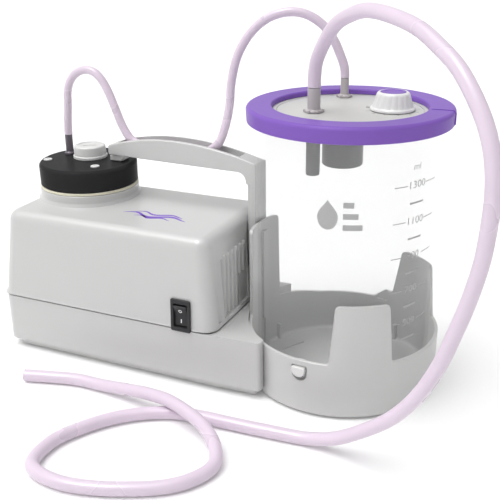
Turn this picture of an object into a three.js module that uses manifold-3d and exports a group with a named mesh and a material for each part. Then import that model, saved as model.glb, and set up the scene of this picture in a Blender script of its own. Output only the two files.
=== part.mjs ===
// A portable suction pump for hospital wards: a diaphragm vacuum pump in a two-part housing,
// with a clear collection jar standing in a cup beside it and an arched carry handle between them.
// Millimetres, +Z up. The origin is at the middle of the footprint, on the surface it stands on.
import * as THREE from 'three';
import * as BufferGeometryUtils from 'three/addons/utils/BufferGeometryUtils.js';
import Module from 'manifold-3d';

const wasm = await Module();
wasm.setup();

// ---------- driving dimensions ----------
const GAP = 0.3; // clearance between neighbouring pieces
const ROUND = 36; // segments round the large turned pieces
const MEDIUM = 18;
const SMALL = 12;

const PAD_HEIGHT = 1.2; // rubber pads under the housing
const PLASTIC_BOTTOM = PAD_HEIGHT + GAP;

// lower housing
const TRAY_LEFT = -149.3;
const TRAY_RIGHT = 16.4;
const TRAY_FRONT = -59.5;
const TRAY_BACK = 36.2;
const TRAY_TOP = 40.8;
const TRAY_WALL = 2.6;
const TRAY_FLOOR_TOP = 4.2;
const PLINTH_TOP = 6.5;
const PLINTH_INSET = 4;
const BRIDGE_END = 49.4; // where the flat front of the bridge to the cup stops
const BRIDGE_BACK_END = 36; // just inside the cup, where the flat back stops
const BRIDGE_ROOF = 2.8;

// upper housing
const COVER_BOTTOM = TRAY_TOP + GAP;
const COVER_TOP = 103.6;
const COVER_RIGHT = 17.9;
const COVER_WALL = 2.6;
const COVER_CORNER = 11;
const COVER_EDGE = 8;
const COVER_DRAFT = { left: 9, right: 4, front: 2.2, back: 4.5 };
const LIP_REACH = 1.5; // how far the lip above the seam stands out
const CAVITY_RIGHT = 9;

// vents in the right wall of the cover
const VENT_PITCH = 5.85;
const VENT_FIRST_Y = -36.1;
const VENT_FINS = 6;
const VENT_LONG_FINS = 4;
const VENT_TOP = 85.5;
const VENT_BOTTOM = 44.5;
const VENT_STEP = 66;
const FIN_THICKNESS = 2.4;
const FIN_EDGE = 16.2;
const RECESS_FACE = 15.9; // the vents sit in an upright recess in the leaning wall
const RECESS_FRONT = -50;

// pump head
const PUMP_X = -109.4;
const BOSS_RADIUS = 35;
const BOSS_TOP = 111.1;
const BOSS_BORE = 28.3;
const GASKET_TOP = 113;
const CAP_RADIUS = 34.7;
const CAP_TOP = 128.4;
const NIPPLE_X = -130;
const GROOVE_Y = 7; // the vacuum hose and the handle's groove lie in this plane
const FILTER_X = -111.4;
const FILTER_Y = 5.9;
const CAP_SCREWS = [[-135.5, -12.3], [-93.8, -14.6], [-112.7, 22.7]];

// motor and crank
const SHAFT_Z = 58;
const SHAFT_RADIUS = 3;
const STROKE_HALF = 2.5;
const ECCENTRIC_RADIUS = 8;
const CAN_RADIUS = 28;
const CAN_LEFT = -83.6;
const CAN_RIGHT = -30;

// jar and its cup
const JAR_X = 84.4;
const JAR_RADIUS = 56.3;
const JAR_BORE = 54.1; // radius of the inside
const JAR_BOTTOM = 3;
const JAR_RIM = 175;
const CUP_RADIUS = 62.3;
const CUP_INNER = 60.1;
const CUP_TOP = 37.8;
const CUP_FLOOR_TOP = 2.7;
const CUP_TABS = [
  { angle: 176.5, top: 98, base: 19.5, tip: 18 },
  { angle: -61, top: 76.5, base: 18, tip: 15 },
  { angle: 51.5, top: 71, base: 20, tip: 14 },
];
const TAB_CORNER = 4;
const RIM_DIP = { angle: 112, bottom: 31, halfBottom: 30, halfTop: 40 }; // the rim is lower at the back
const LATCH_ANGLE = -96.5;
const LATCH_Z = 28.8;
const LATCH_RADIUS = 4.7;
const LATCH_SEAT = 59; // distances of the recess's floor, the button's back and its face from the jar's axis
const LATCH_BACK = 61.2;
const LATCH_FACE = 64.3;

// lid
const LID_BOTTOM = 176.3;
const LID_TOP = 179.6;
const RING_RADIUS = 63.05;
const RING_OPENING = 46.9;
const RING_BOTTOM = 173.2;
const RING_TOP = 183;
const PATIENT = [66.9, -15.2];
const VACUUM = [69.5, 34.7];
const KNOB = [108.8, 7.6];
const FLOAT_SEAT = 174.5; // the rim that the float closes as it rises

// handle
const HANDLE_FRONT = -0.4;
const HANDLE_BACK = 14;
const HANDLE_LEFT = -91.8;
const HANDLE_UNDER_LEFT = 133.6;
const HANDLE_UNDER_RIGHT = 131.7;
const HANDLE_TIP = 140.5;
const HANDLE_CREST = 147.8;
const HANDLE_CREST_X = -50.7;
const POST_LEFT = 14.6;
const POST_FACE_RADIUS = 62.9; // the post's inner face follows the jar's cup
const GROOVE_WALL = 2.4;

// hoses
const VACUUM_HOSE_RADIUS = 2.9;
const PATIENT_HOSE_RADIUS = 4;

// ---------- materials ----------
function finish(color, roughness = 0.5, metalness = 0) {
  return new THREE.MeshStandardMaterial({ color, roughness, metalness });
}
const housing = finish(0xd2d2cf, 0.42);
const white = finish(0xe8e8e4, 0.5);
const black = finish(0x262628, 0.45);
const cream = finish(0xe4dfc8, 0.6);
const rubber = finish(0x2a2a2a, 0.9);
const steel = finish(0xb5b8bb, 0.3, 1);
const alloy = finish(0x9da0a3, 0.5, 1);
const copper = finish(0x8f5a3a, 0.45, 1);
const purple = finish(0x6e45b0, 0.35);
function seeThrough(color, roughness, opacity) {
  return new THREE.MeshStandardMaterial({ color, roughness, transparent: true, opacity });
}
const clear = seeThrough(0xf4f6f7, 0.08, 0.35);
const hosePink = seeThrough(0xe1d0e0, 0.3, 0.8);
const nippleGrey = finish(0xc9c6c6, 0.4);
const innerGrey = finish(0x9c9c9b, 0.5);

// ---------- solids ----------
const pump = new THREE.Group();

/** A closed geometry as a manifold solid, facing out. */
function solid(geometry) {
  const bare = geometry.clone();
  for (const name of ['normal', 'uv']) bare.deleteAttribute(name);
  const merged = BufferGeometryUtils.mergeVertices(bare, 1e-4);
  const points = merged.attributes.position.array;
  const index = merged.index.array;
  const corners = [new THREE.Vector3(), new THREE.Vector3(), new THREE.Vector3()];
  const kept = [];
  let volume = 0;
  for (let i = 0; i < index.length; i += 3) {
    const [a, b, c] = index.slice(i, i + 3);
    if (a === b || b === c || c === a) continue;
    kept.push(a, b, c);
    [a, b, c].forEach((vertex, k) => corners[k].fromArray(points, 3 * vertex));
    volume += corners[0].dot(corners[1].clone().cross(corners[2]));
  }
  if (volume < 0) {
    for (let i = 0; i < kept.length; i += 3) [kept[i], kept[i + 1]] = [kept[i + 1], kept[i]];
  }
  const triVerts = new Uint32Array(kept);
  return new wasm.Manifold(new wasm.Mesh({ numProp: 3, vertProperties: points, triVerts }));
}

function join(first, ...others) {
  return others.reduce((whole, next) => whole.add(next), first);
}

function cut(first, ...others) {
  return others.reduce((rest, next) => rest.subtract(next), first);
}

/** Adds a named piece to the pump. */
function piece(name, body, material) {
  const { vertProperties, triVerts } = body.getMesh();
  const geometry = new THREE.BufferGeometry();
  geometry.setAttribute('position', new THREE.BufferAttribute(vertProperties, 3));
  geometry.setIndex(new THREE.BufferAttribute(triVerts, 1));
  geometry.computeVertexNormals();
  const mesh = new THREE.Mesh(geometry, material);
  mesh.name = name;
  pump.add(mesh);
}

function block(x0, x1, y0, y1, z0, z1) {
  const box = new THREE.BoxGeometry(x1 - x0, y1 - y0, z1 - z0);
  return solid(box.translate((x0 + x1) / 2, (y0 + y1) / 2, (z0 + z1) / 2));
}

/** A cylinder standing on z0, or a cone when the top radius differs. */
function rod([x, y], radius, z0, z1, segments = SMALL, topRadius = radius) {
  const cylinder = new THREE.CylinderGeometry(topRadius, radius, z1 - z0, segments);
  return solid(cylinder.rotateX(Math.PI / 2).translate(x, y, (z0 + z1) / 2));
}

/** A profile of [radius, height] points turned about a vertical axis. */
function turned([x, y], profile, segments = ROUND) {
  const points = profile.map(([r, z]) => new THREE.Vector2(r, z));
  if (profile[0][0] > 0) points.push(points[0].clone());
  return solid(new THREE.LatheGeometry(points, segments).rotateX(Math.PI / 2).translate(x, y, 0));
}

/** A profile of [radius, x] points turned about the motor's shaft. */
function turnedOnShaft(profile, segments = MEDIUM, offset = 0) {
  const points = profile.map(([r, x]) => new THREE.Vector2(r, x));
  if (profile[0][0] > 0) points.push(points[0].clone());
  const lathe = new THREE.LatheGeometry(points, segments).rotateZ(-Math.PI / 2);
  return solid(lathe.translate(0, 0, SHAFT_Z + offset));
}

/** A plan outline raised from z0 to z1. */
function raised(shape, z0, z1, curveSegments = 4) {
  const settings = { depth: z1 - z0, bevelEnabled: false, curveSegments };
  return solid(new THREE.ExtrudeGeometry(shape, settings).translate(0, 0, z0));
}

/** A side outline, drawn in x and z, from y0 to y1. */
function sideways(shape, y0, y1, curveSegments = 10) {
  const settings = { depth: y1 - y0, bevelEnabled: false, curveSegments };
  return solid(new THREE.ExtrudeGeometry(shape, settings).rotateX(Math.PI / 2).translate(0, y1, 0));
}

/** A closed outline through the given corners, each rounded by its own third value. */
function outline(corners) {
  const shape = new THREE.Shape();
  corners.forEach(([x, y, r = 0], i) => {
    const corner = new THREE.Vector2(x, y);
    const before = new THREE.Vector2(...corners.at(i - 1)).sub(corner).setLength(r || 1e-3);
    const after = new THREE.Vector2(...corners[(i + 1) % corners.length]).sub(corner).setLength(r || 1e-3);
    const from = r ? corner.clone().add(before) : corner;
    if (i === 0) shape.moveTo(from.x, from.y);
    else shape.lineTo(from.x, from.y);
    if (r) shape.quadraticCurveTo(x, y, x + after.x, y + after.y);
  });
  shape.closePath();
  return shape;
}

/** A box with rounded corners and top edge whose walls lean in by the draft towards the top. */
function draftedBox(x0, x1, y0, y1, z0, z1, corner, edge, draft) {
  const perCorner = 6;
  const bends = 4;
  const levels = [[z0, 0]];
  for (let i = 0; i <= bends; i++) {
    const turn = (i * Math.PI) / 2 / bends;
    levels.push([z1 - edge + edge * Math.sin(turn), edge * (1 - Math.cos(turn))]);
  }
  const points = [];
  for (const [z, inset] of levels) {
    const rise = (z - z0) / (z1 - z0);
    const left = x0 + draft.left * rise + corner;
    const right = x1 - draft.right * rise - corner;
    const front = y0 + draft.front * rise + corner;
    const back = y1 - draft.back * rise - corner;
    const radius = corner - inset;
    [[right, back], [left, back], [left, front], [right, front]].forEach(([x, y], quarter) => {
      for (let k = 0; k < perCorner; k++) {
        const angle = ((quarter + k / (perCorner - 1)) * Math.PI) / 2;
        points.push(x + radius * Math.cos(angle), y + radius * Math.sin(angle), z);
      }
    });
  }
  const around = 4 * perCorner;
  const faces = [];
  for (let level = 0; level < levels.length - 1; level++) {
    for (let i = 0; i < around; i++) {
      const a = level * around + i;
      const b = level * around + ((i + 1) % around);
      faces.push(a, b, b + around, a, b + around, a + around);
    }
  }
  const last = (levels.length - 1) * around;
  for (let i = 1; i < around - 1; i++) faces.push(0, i + 1, i, last, last + i, last + i + 1);
  const box = new THREE.BufferGeometry();
  box.setAttribute('position', new THREE.Float32BufferAttribute(points, 3));
  box.setIndex(faces);
  return solid(box);
}

/** A cylinder pointing out from the jar's axis, between two distances from it. */
function spoke(degrees, z, radius, inner, outer, segments = MEDIUM) {
  const cylinder = new THREE.CylinderGeometry(radius, radius, outer - inner, segments);
  cylinder.rotateZ(-Math.PI / 2).translate((inner + outer) / 2, 0, 0);
  return solid(cylinder.rotateZ(THREE.MathUtils.degToRad(degrees)).translate(JAR_X, 0, z));
}

const JAR_AXIS = [JAR_X, 0];
const PUMP_AXIS = [PUMP_X, 0];

// ---------- lower housing ----------
function trayOutline(inset) {
  const left = TRAY_LEFT + inset;
  const front = TRAY_FRONT + inset;
  const back = TRAY_BACK - inset;
  const corner = 8;
  return outline([
    [left, front, corner],
    [TRAY_RIGHT, front],
    [BRIDGE_END - inset, front + 1.4, 2],
    [BRIDGE_END - inset, 20],
    [BRIDGE_BACK_END, back],
    [left, back, corner],
  ]);
}

function baseTray() {
  const shell = join(
    raised(trayOutline(0), PLINTH_TOP, TRAY_TOP),
    raised(trayOutline(PLINTH_INSET), PLASTIC_BOTTOM, PLINTH_TOP + 1),
  );
  const inside = outline([
    [TRAY_LEFT + TRAY_WALL, TRAY_FRONT + TRAY_WALL, 5],
    [TRAY_RIGHT - 1, TRAY_FRONT + TRAY_WALL],
    [TRAY_RIGHT - 1, TRAY_BACK - TRAY_WALL],
    [TRAY_LEFT + TRAY_WALL, TRAY_BACK - TRAY_WALL, 5],
  ]);
  const bowl = cut(
    raised(inside, PLINTH_TOP + TRAY_WALL, TRAY_TOP + 10),
    rod(JAR_AXIS, POST_FACE_RADIUS + TRAY_WALL, 0, 60, ROUND),
  );
  const well = cut(
    raised(trayOutline(PLINTH_INSET + TRAY_WALL), TRAY_FLOOR_TOP, TRAY_TOP - BRIDGE_ROOF),
    rod(JAR_AXIS, POST_FACE_RADIUS + TRAY_WALL, 0, 60, ROUND),
  );
  const screwPosts = COVER_SCREWS.map((place) => rod(place, 4, TRAY_FLOOR_TOP - 1, TRAY_TOP - 3));
  const counterbores = COVER_SCREWS.map((place) => rod(place, 3.4, 0, 6.5));
  const screwHoles = COVER_SCREWS.map((place) => rod(place, 1.9, 5, TRAY_TOP));
  const postHoles = POST_SCREWS.map((place) => (
    join(rod(place, 1.8, 30, 60), rod(place, 2.9, 28, TRAY_TOP - 3))
  ));
  return cut(
    join(cut(shell, bowl, well), ...screwPosts),
    rod(JAR_AXIS, POST_FACE_RADIUS - 0.3, 0, 60, ROUND),
    block(INLET_X - 10.3, INLET_X + 10.3, TRAY_BACK - 10, TRAY_BACK + 10, INLET_Z - 5.3, INLET_Z + 5.3),
    ...counterbores,
    ...screwHoles,
    ...postHoles,
  );
}

const COVER_SCREWS = [[-134, -46], [4, -46], [-134, 23], [4, 23]];
const POST_SCREWS = [[17.8, 2.6], [17.8, 10.8]];
const INLET_X = -40;
const INLET_Z = 24;

piece('base_tray', baseTray(), housing);

const PADS = [[-128, -44], [-128, 22], [104, -38], [104, 38]];
PADS.forEach((place, i) => piece(`rubber_foot_${i + 1}`, rod(place, 7, 0, PAD_HEIGHT, MEDIUM), rubber));

COVER_SCREWS.forEach((place, i) => {
  const screw = join(rod(place, 3, 3.4, 6.2), rod(place, 1.5, 6, 52));
  piece(`cover_screw_${i + 1}`, screw, steel);
});

// ---------- mains inlet on the back of the lower housing ----------
function mainsInlet() {
  const body = block(INLET_X - 10, INLET_X + 10, TRAY_BACK - 14, TRAY_BACK + 1, INLET_Z - 5, INLET_Z + 5);
  const flange = block(INLET_X - 14, INLET_X + 14, TRAY_BACK + GAP, TRAY_BACK + 2, INLET_Z - 8, INLET_Z + 8);
  const socket = block(INLET_X - 8, INLET_X + 8, TRAY_BACK - 11, TRAY_BACK + 5, INLET_Z - 3.6, INLET_Z + 3.6);
  const pins = [-4.3, 4.3].map((shift) => (
    alongY(INLET_X + shift, INLET_Z, 1.2, TRAY_BACK - 12, TRAY_BACK - 3)
  ));
  return join(cut(join(body, flange), socket), ...pins);
}

function alongY(x, z, radius, y0, y1) {
  const cylinder = new THREE.CylinderGeometry(radius, radius, y1 - y0, SMALL);
  return solid(cylinder.translate(x, (y0 + y1) / 2, z));
}

piece('power_inlet', mainsInlet(), black);

// ---------- upper housing ----------
const SWITCH = { x: -4.65, z: 51, width: 14.3, height: 22.2, bodyWidth: 11.4, bodyHeight: 17.4, lean: 0.035 };

/** Moves a solid drawn at the origin, facing -Y, onto the cover's leaning front wall. */
function onFrontWall(geometry) {
  const rise = (SWITCH.z - COVER_BOTTOM) / (COVER_TOP - COVER_BOTTOM);
  const face = TRAY_FRONT - 0.1 + COVER_DRAFT.front * rise;
  return solid(geometry.rotateX(-SWITCH.lean).translate(SWITCH.x, face, SWITCH.z));
}

function switchBlock(width, height, y0, y1) {
  return onFrontWall(new THREE.BoxGeometry(width, y1 - y0, height).translate(0, (y0 + y1) / 2, 0));
}

function motorCover() {
  const left = TRAY_LEFT;
  const front = TRAY_FRONT - 0.2;
  const lipTop = COVER_BOTTOM + 8;
  const shell = draftedBox(
    left, COVER_RIGHT, front, TRAY_BACK, COVER_BOTTOM, COVER_TOP, COVER_CORNER, COVER_EDGE, COVER_DRAFT,
  );
  const lip = draftedBox(
    left - LIP_REACH, COVER_RIGHT - 4, front - 0.6, TRAY_BACK + 0.6, COVER_BOTTOM, lipTop, COVER_CORNER, 3,
    { left: 4, right: 0, front: 3, back: 3 },
  );
  const hollow = draftedBox(
    left + COVER_WALL, CAVITY_RIGHT, front + COVER_WALL, TRAY_BACK - COVER_WALL, COVER_BOTTOM - 1,
    COVER_TOP - COVER_WALL, COVER_CORNER - 3, COVER_EDGE - 2, { ...COVER_DRAFT, right: 0 },
  );
  const screwBosses = COVER_SCREWS.map((place) => rod(place, 3.8, COVER_BOTTOM, COVER_TOP - 4));
  const screwHoles = COVER_SCREWS.map((place) => rod(place, 1.9, COVER_BOTTOM - 5, 54));
  const boss = turned(PUMP_AXIS, [
    [0, 70], [24, 70], [BOSS_RADIUS, 88], [BOSS_RADIUS, BOSS_TOP], [0, BOSS_TOP],
  ]);
  const bossInside = turned(PUMP_AXIS, [[0, 60], [21, 68], [31.5, 88], [31.5, 101], [0, 101]]);
  const opened = cut(join(cut(join(shell, lip, boss), hollow, bossInside), ...screwBosses), ...screwHoles);
  const ventSpan = VENT_FIRST_Y + (VENT_FINS - 0.4) * VENT_PITCH;
  const longSpan = VENT_FIRST_Y + (VENT_LONG_FINS - 0.5) * VENT_PITCH;
  const window = join(
    block(0, 30, VENT_FIRST_Y - 5, longSpan, VENT_BOTTOM, VENT_TOP),
    block(0, 30, longSpan - 1, ventSpan, VENT_STEP, VENT_TOP),
    block(RECESS_FACE, 30, RECESS_FRONT, ventSpan, VENT_BOTTOM, VENT_TOP),
  );
  const fins = Array.from({ length: VENT_FINS }, (_, i) => {
    const y0 = VENT_FIRST_Y + i * VENT_PITCH - FIN_THICKNESS / 2;
    const bottom = i < VENT_LONG_FINS ? VENT_BOTTOM - 1 : VENT_STEP - 1;
    return block(CAVITY_RIGHT + 0.2, FIN_EDGE, y0, y0 + FIN_THICKNESS, bottom, VENT_TOP + 1);
  });
  const postNotch = block(POST_LEFT - GAP, 40, HANDLE_FRONT - GAP, HANDLE_BACK + GAP, COVER_BOTTOM - 5, 130);
  return cut(
    join(cut(opened, window), ...fins),
    rod(PUMP_AXIS, BOSS_BORE, 80, 130, ROUND),
    switchBlock(SWITCH.bodyWidth + 0.6, SWITCH.bodyHeight + 0.6, -10, 20),
    switchBlock(SWITCH.width + 0.6, SWITCH.height + 0.6, -10, 0),
    postNotch,
  );
}

piece('motor_cover', motorCover(), housing);

// ---------- rocker switch ----------
const ROCKER_WIDTH = 9;
const ROCKER_PIVOT = 1.4; // depth of the rocker's pivot behind the wall's face
const ROCKER_TILT = 10; // degrees each side of level

function switchBezel() {
  const flange = switchBlock(SWITCH.width, SWITCH.height, -1.6, -GAP);
  const body = switchBlock(SWITCH.bodyWidth, SWITCH.bodyHeight, -1, 12);
  const well = switchBlock(ROCKER_WIDTH + 0.8, 16.2, -10, 9.5);
  return cut(join(flange, body), well);
}

function rocker() {
  const profile = outline([[2.9, 7.4], [1.3, 0], [2.9, -7.4], [-3, -6.6], [-4.6, 0], [-3, 6.6]]);
  const settings = { depth: ROCKER_WIDTH, bevelEnabled: false };
  const paddle = new THREE.ExtrudeGeometry(profile, settings);
  paddle.translate(0, 0, -ROCKER_WIDTH / 2).rotateX(Math.PI / 2).rotateZ(-Math.PI / 2);
  paddle.rotateX(THREE.MathUtils.degToRad(ROCKER_TILT)).translate(0, ROCKER_PIVOT, 0);
  return onFrontWall(paddle);
}

piece('switch_bezel', switchBezel(), black);
piece('switch_rocker', rocker(), black);

// ---------- pump head ----------
piece('head_gasket', turned(PUMP_AXIS, [
  [28.8, BOSS_TOP + GAP], [34.8, BOSS_TOP + GAP], [34.8, GASKET_TOP], [28.8, GASKET_TOP],
]), cream);

function pumpCap() {
  const bottom = GASKET_TOP + GAP;
  const body = turned(PUMP_AXIS, [
    [0, bottom], [CAP_RADIUS, bottom], [CAP_RADIUS, CAP_TOP - 2.2], [CAP_RADIUS - 0.6, CAP_TOP - 0.7],
    [CAP_RADIUS - 2.2, CAP_TOP], [0, CAP_TOP],
  ]);
  return cut(
    body,
    rod(PUMP_AXIS, 28.2, bottom - 5, 120, ROUND),
    rod([NIPPLE_X, GROOVE_Y], 2.2, 110, 140),
    rod([FILTER_X, FILTER_Y], 7.4, 110, 140, MEDIUM),
    ...CAP_SCREWS.map((place) => rod(place, 3.4, CAP_TOP - 1.2, 140, MEDIUM)),
    ...CAP_SCREWS.map((place) => rod(place, 1.9, CAP_TOP - 6.5, 140)),
    rod(HANDLE_SCREW, 1.9, 110, 140),
  );
}

const HANDLE_SCREW = [-87.6, 7.4];
piece('pump_head_cap', pumpCap(), black);
CAP_SCREWS.forEach((place, i) => {
  const head = rod(place, 3.1, CAP_TOP - 0.9, CAP_TOP + 0.7, MEDIUM);
  piece(`cap_screw_${i + 1}`, join(head, rod(place, 1.6, CAP_TOP - 6, CAP_TOP)), white);
});

piece('pump_nipple', turned([NIPPLE_X, GROOVE_Y], [
  [1.2, 121], [1.9, 121], [1.9, CAP_TOP + GAP], [3.9, CAP_TOP + GAP], [3.9, CAP_TOP + 1.6],
  [2.7, CAP_TOP + 2.2], [2.7, 143], [1.2, 143],
], 16), finish(0x55505a, 0.5));

piece('exhaust_filter_cap', turned([FILTER_X, FILTER_Y], [
  [0, CAP_TOP + GAP], [12.2, CAP_TOP + GAP], [12.2, CAP_TOP + 1.8], [11.4, CAP_TOP + 2.2], [11.1, 136.6],
  [10.3, 137.4], [0, 137.4],
], MEDIUM), white);
piece('filter_element', rod([FILTER_X, FILTER_Y], 7, 120.5, CAP_TOP, MEDIUM), cream);

piece('valve_plate', cut(
  turned(PUMP_AXIS, [[0, 112.5], [15, 112.5], [15, 110.3], [27.5, 110.3], [27.5, 117], [0, 117]], MEDIUM),
  rod([PUMP_X - 8, 0], 3, 105, 120),
  rod([PUMP_X + 8, 0], 3, 105, 120),
), alloy);
piece('valve_membrane', cut(
  rod(PUMP_AXIS, 16, 117 + GAP, 118.4, MEDIUM),
  rod(PUMP_AXIS, 2, 110, 120),
), rubber);

piece('diaphragm', turned(PUMP_AXIS, [
  [2.2, 103.8], [13, 103.8], [23, 108.3], [27.5, 108.3], [27.5, 110], [22.4, 110], [13.5, 105.4],
  [2.2, 105.4],
], MEDIUM), rubber);

// ---------- pump frame, motor and crank ----------
function pumpFrame() {
  const wall = block(-88, -84, -24, 24, 34, 92);
  const deck = join(rod(PUMP_AXIS, 27.7, 88, 92, MEDIUM), block(-100, -84, -24, 24, 88, 92));
  const ring = turned(PUMP_AXIS, [[23.6, 91], [27.7, 91], [27.7, 108], [23.6, 108]], MEDIUM);
  return cut(
    join(wall, deck, ring),
    rod(PUMP_AXIS, 17.5, 80, 96, MEDIUM),
    turnedOnShaft([[0, -95], [9, -95], [9, -80], [0, -80]]),
  );
}

piece('pump_frame', pumpFrame(), alloy);

function bearing(x0, x1) {
  return turnedOnShaft([[SHAFT_RADIUS + 0.05, x0], [8.6, x0], [8.6, x1], [SHAFT_RADIUS + 0.05, x1]], MEDIUM);
}

piece('front_bearing', bearing(-88.4, -84.4), copper);
piece('rear_bearing', bearing(CAN_RIGHT - 3.5, CAN_RIGHT + 0.5), copper);

piece('motor_can', turnedOnShaft([
  [9, CAN_LEFT], [CAN_RADIUS, CAN_LEFT], [CAN_RADIUS, CAN_RIGHT], [9, CAN_RIGHT], [9, CAN_RIGHT - 2.5],
  [25.5, CAN_RIGHT - 2.5], [25.5, CAN_LEFT + 2.5], [9, CAN_LEFT + 2.5],
], 32), steel);
piece('stator_core', turnedOnShaft([[19, -76], [25.1, -76], [25.1, -38], [19, -38]], MEDIUM), copper);
piece('rotor_core', turnedOnShaft([[3.3, -75], [18.3, -75], [18.3, -39], [3.3, -39]], MEDIUM), steel);
piece('rotor_shaft', turnedOnShaft([[0, -120], [3, -120], [3, -4], [0, -4]], MEDIUM), steel);

piece('eccentric', turnedEccentric(), steel);

function turnedEccentric() {
  const disc = turnedOnShaft(
    [[0, -112.6], [ECCENTRIC_RADIUS, -112.6], [ECCENTRIC_RADIUS, -106.2], [0, -106.2]], MEDIUM, STROKE_HALF,
  );
  const bore = turnedOnShaft([[0, -125], [3.3, -125], [3.3, -90], [0, -90]], MEDIUM);
  const weight = turnedOnShaft([[0, -118.5], [13, -118.5], [13, -114], [0, -114]], MEDIUM);
  const neck = turnedOnShaft([[0, -115], [5, -115], [5, -112], [0, -112]], SMALL);
  const lowerHalf = block(-130, -90, -20, 20, SHAFT_Z - 20, SHAFT_Z + 5);
  return cut(join(disc, weight.intersect(lowerHalf), neck), bore);
}

function coolingFan() {
  const hub = turnedOnShaft([[0, -20], [7, -20], [7, -7], [0, -7]], MEDIUM);
  const blades = Array.from({ length: 7 }, (_, i) => {
    const blade = new THREE.BoxGeometry(13, 1.4, 20).rotateZ(0.7).translate(0, 0, 15.5);
    return solid(blade.rotateX((i * 2 * Math.PI) / 7).translate(-13.5, 0, SHAFT_Z));
  });
  return cut(join(hub, ...blades), turnedOnShaft([[0, -40], [3.3, -40], [3.3, 5], [0, 5]], MEDIUM));
}

piece('cooling_fan', coolingFan(), black);

piece('motor_cradle', cut(
  block(-72, -42, -22, 22, TRAY_FLOOR_TOP + GAP, 38),
  turnedOnShaft([[0, -90], [CAN_RADIUS + GAP, -90], [CAN_RADIUS + GAP, -20], [0, -20]], 32),
), rubber);

function connectingRod() {
  const bigEnd = turnedOnShaft([[17.6, -112.6], [13.6, -112.6], [13.6, -106.2], [17.6, -106.2]], 32);
  const shank = block(-112.6, -106.2, -4.5, 4.5, SHAFT_Z + 14.5, 101);
  const seat = rod(PUMP_AXIS, 12.5, 100, 103.5, MEDIUM);
  return cut(join(bigEnd, shank, seat), rod(PUMP_AXIS, 2.1, 92, 110));
}

piece('connecting_rod', connectingRod(), alloy);
piece('diaphragm_screw', join(
  rod(PUMP_AXIS, 1.8, 93, 108),
  rod(PUMP_AXIS, 10, 105.7, 107, MEDIUM),
  rod(PUMP_AXIS, 4, 106.5, 109, MEDIUM),
), steel);

// ---------- jar holder ----------
/** A tab of the cup's wall with sloping sides and rounded tips. */
function cupTab({ angle, top, base, tip }) {
  const wide = CUP_RADIUS * Math.sin(THREE.MathUtils.degToRad(base));
  const narrow = CUP_RADIUS * Math.sin(THREE.MathUtils.degToRad(tip));
  const face = outline([
    [-wide, 20], [wide, 20], [wide, CUP_TOP], [narrow, top, TAB_CORNER], [-narrow, top, TAB_CORNER],
    [-wide, CUP_TOP],
  ]);
  const outside = CUP_RADIUS - 0.05; // just inside the wall's face, so that the two don't coincide
  const wall = turned(JAR_AXIS, [[CUP_INNER, 20], [outside, 20], [outside, 120], [CUP_INNER, 120]]);
  return radialSlab(face, angle).intersect(wall);
}

/** A face drawn in the tangent and in z, pushed through the cup's wall at an angle round the jar. */
function radialSlab(face, angle) {
  const slab = new THREE.ExtrudeGeometry(face, { depth: 30, bevelEnabled: false, curveSegments: 4 });
  slab.translate(0, 0, 40).rotateX(Math.PI / 2).rotateZ(Math.PI / 2);
  return solid(slab.rotateZ(THREE.MathUtils.degToRad(angle)).translate(JAR_X, 0, 0));
}

function jarCup() {
  const bowl = turned(JAR_AXIS, [
    [0, PLASTIC_BOTTOM], [60, PLASTIC_BOTTOM], [61.4, PLASTIC_BOTTOM + 1.2], [CUP_RADIUS, CUP_TOP - 0.6],
    [CUP_RADIUS - 0.5, CUP_TOP], [CUP_INNER + 0.5, CUP_TOP], [CUP_INNER, CUP_TOP - 0.6],
    [CUP_INNER, CUP_FLOOR_TOP], [0, CUP_FLOOR_TOP],
  ]);
  const ribs = Array.from({ length: 8 }, (_, i) => {
    const rib = new THREE.BoxGeometry(CUP_INNER + 1 - JAR_RADIUS - 0.6, 2, 12);
    rib.translate((CUP_INNER + 1 + JAR_RADIUS + 0.6) / 2, 0, CUP_FLOOR_TOP + 5.5);
    return solid(rib.rotateZ(((i + 0.5) * Math.PI) / 4).translate(JAR_X, 0, 0));
  });
  const latchPad = spoke(LATCH_ANGLE, LATCH_Z, 7.5, 57.3, 61.5);
  const { angle, bottom, halfBottom, halfTop } = RIM_DIP;
  const top = CUP_TOP + 2;
  const dip = outline([[-halfBottom, bottom, 6], [halfBottom, bottom, 6], [halfTop, top], [-halfTop, top]]);
  const slot = new THREE.BoxGeometry(1.6, 20, 10).rotateZ(-0.52).translate(43.5, 15, 0);
  return cut(
    join(cut(bowl, radialSlab(dip, angle)), ...CUP_TABS.map(cupTab), ...ribs, latchPad),
    spoke(LATCH_ANGLE, LATCH_Z, LATCH_RADIUS + 0.5, LATCH_SEAT, 70),
    spoke(LATCH_ANGLE, LATCH_Z, 2.2, 50, 70, SMALL),
    solid(slot),
  );
}

piece('jar_cup', jarCup(), housing);

piece('latch_button', join(
  spoke(LATCH_ANGLE, LATCH_Z, LATCH_RADIUS, LATCH_BACK, LATCH_FACE),
  spoke(LATCH_ANGLE, LATCH_Z, 1.8, LATCH_SEAT - GAP, LATCH_BACK + GAP, SMALL),
), white);
piece('latch_spring', cut(
  spoke(LATCH_ANGLE, LATCH_Z, 3.6, LATCH_SEAT + GAP, LATCH_BACK - GAP, SMALL),
  spoke(LATCH_ANGLE, LATCH_Z, 2.4, 50, 70, SMALL),
), steel);

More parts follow.
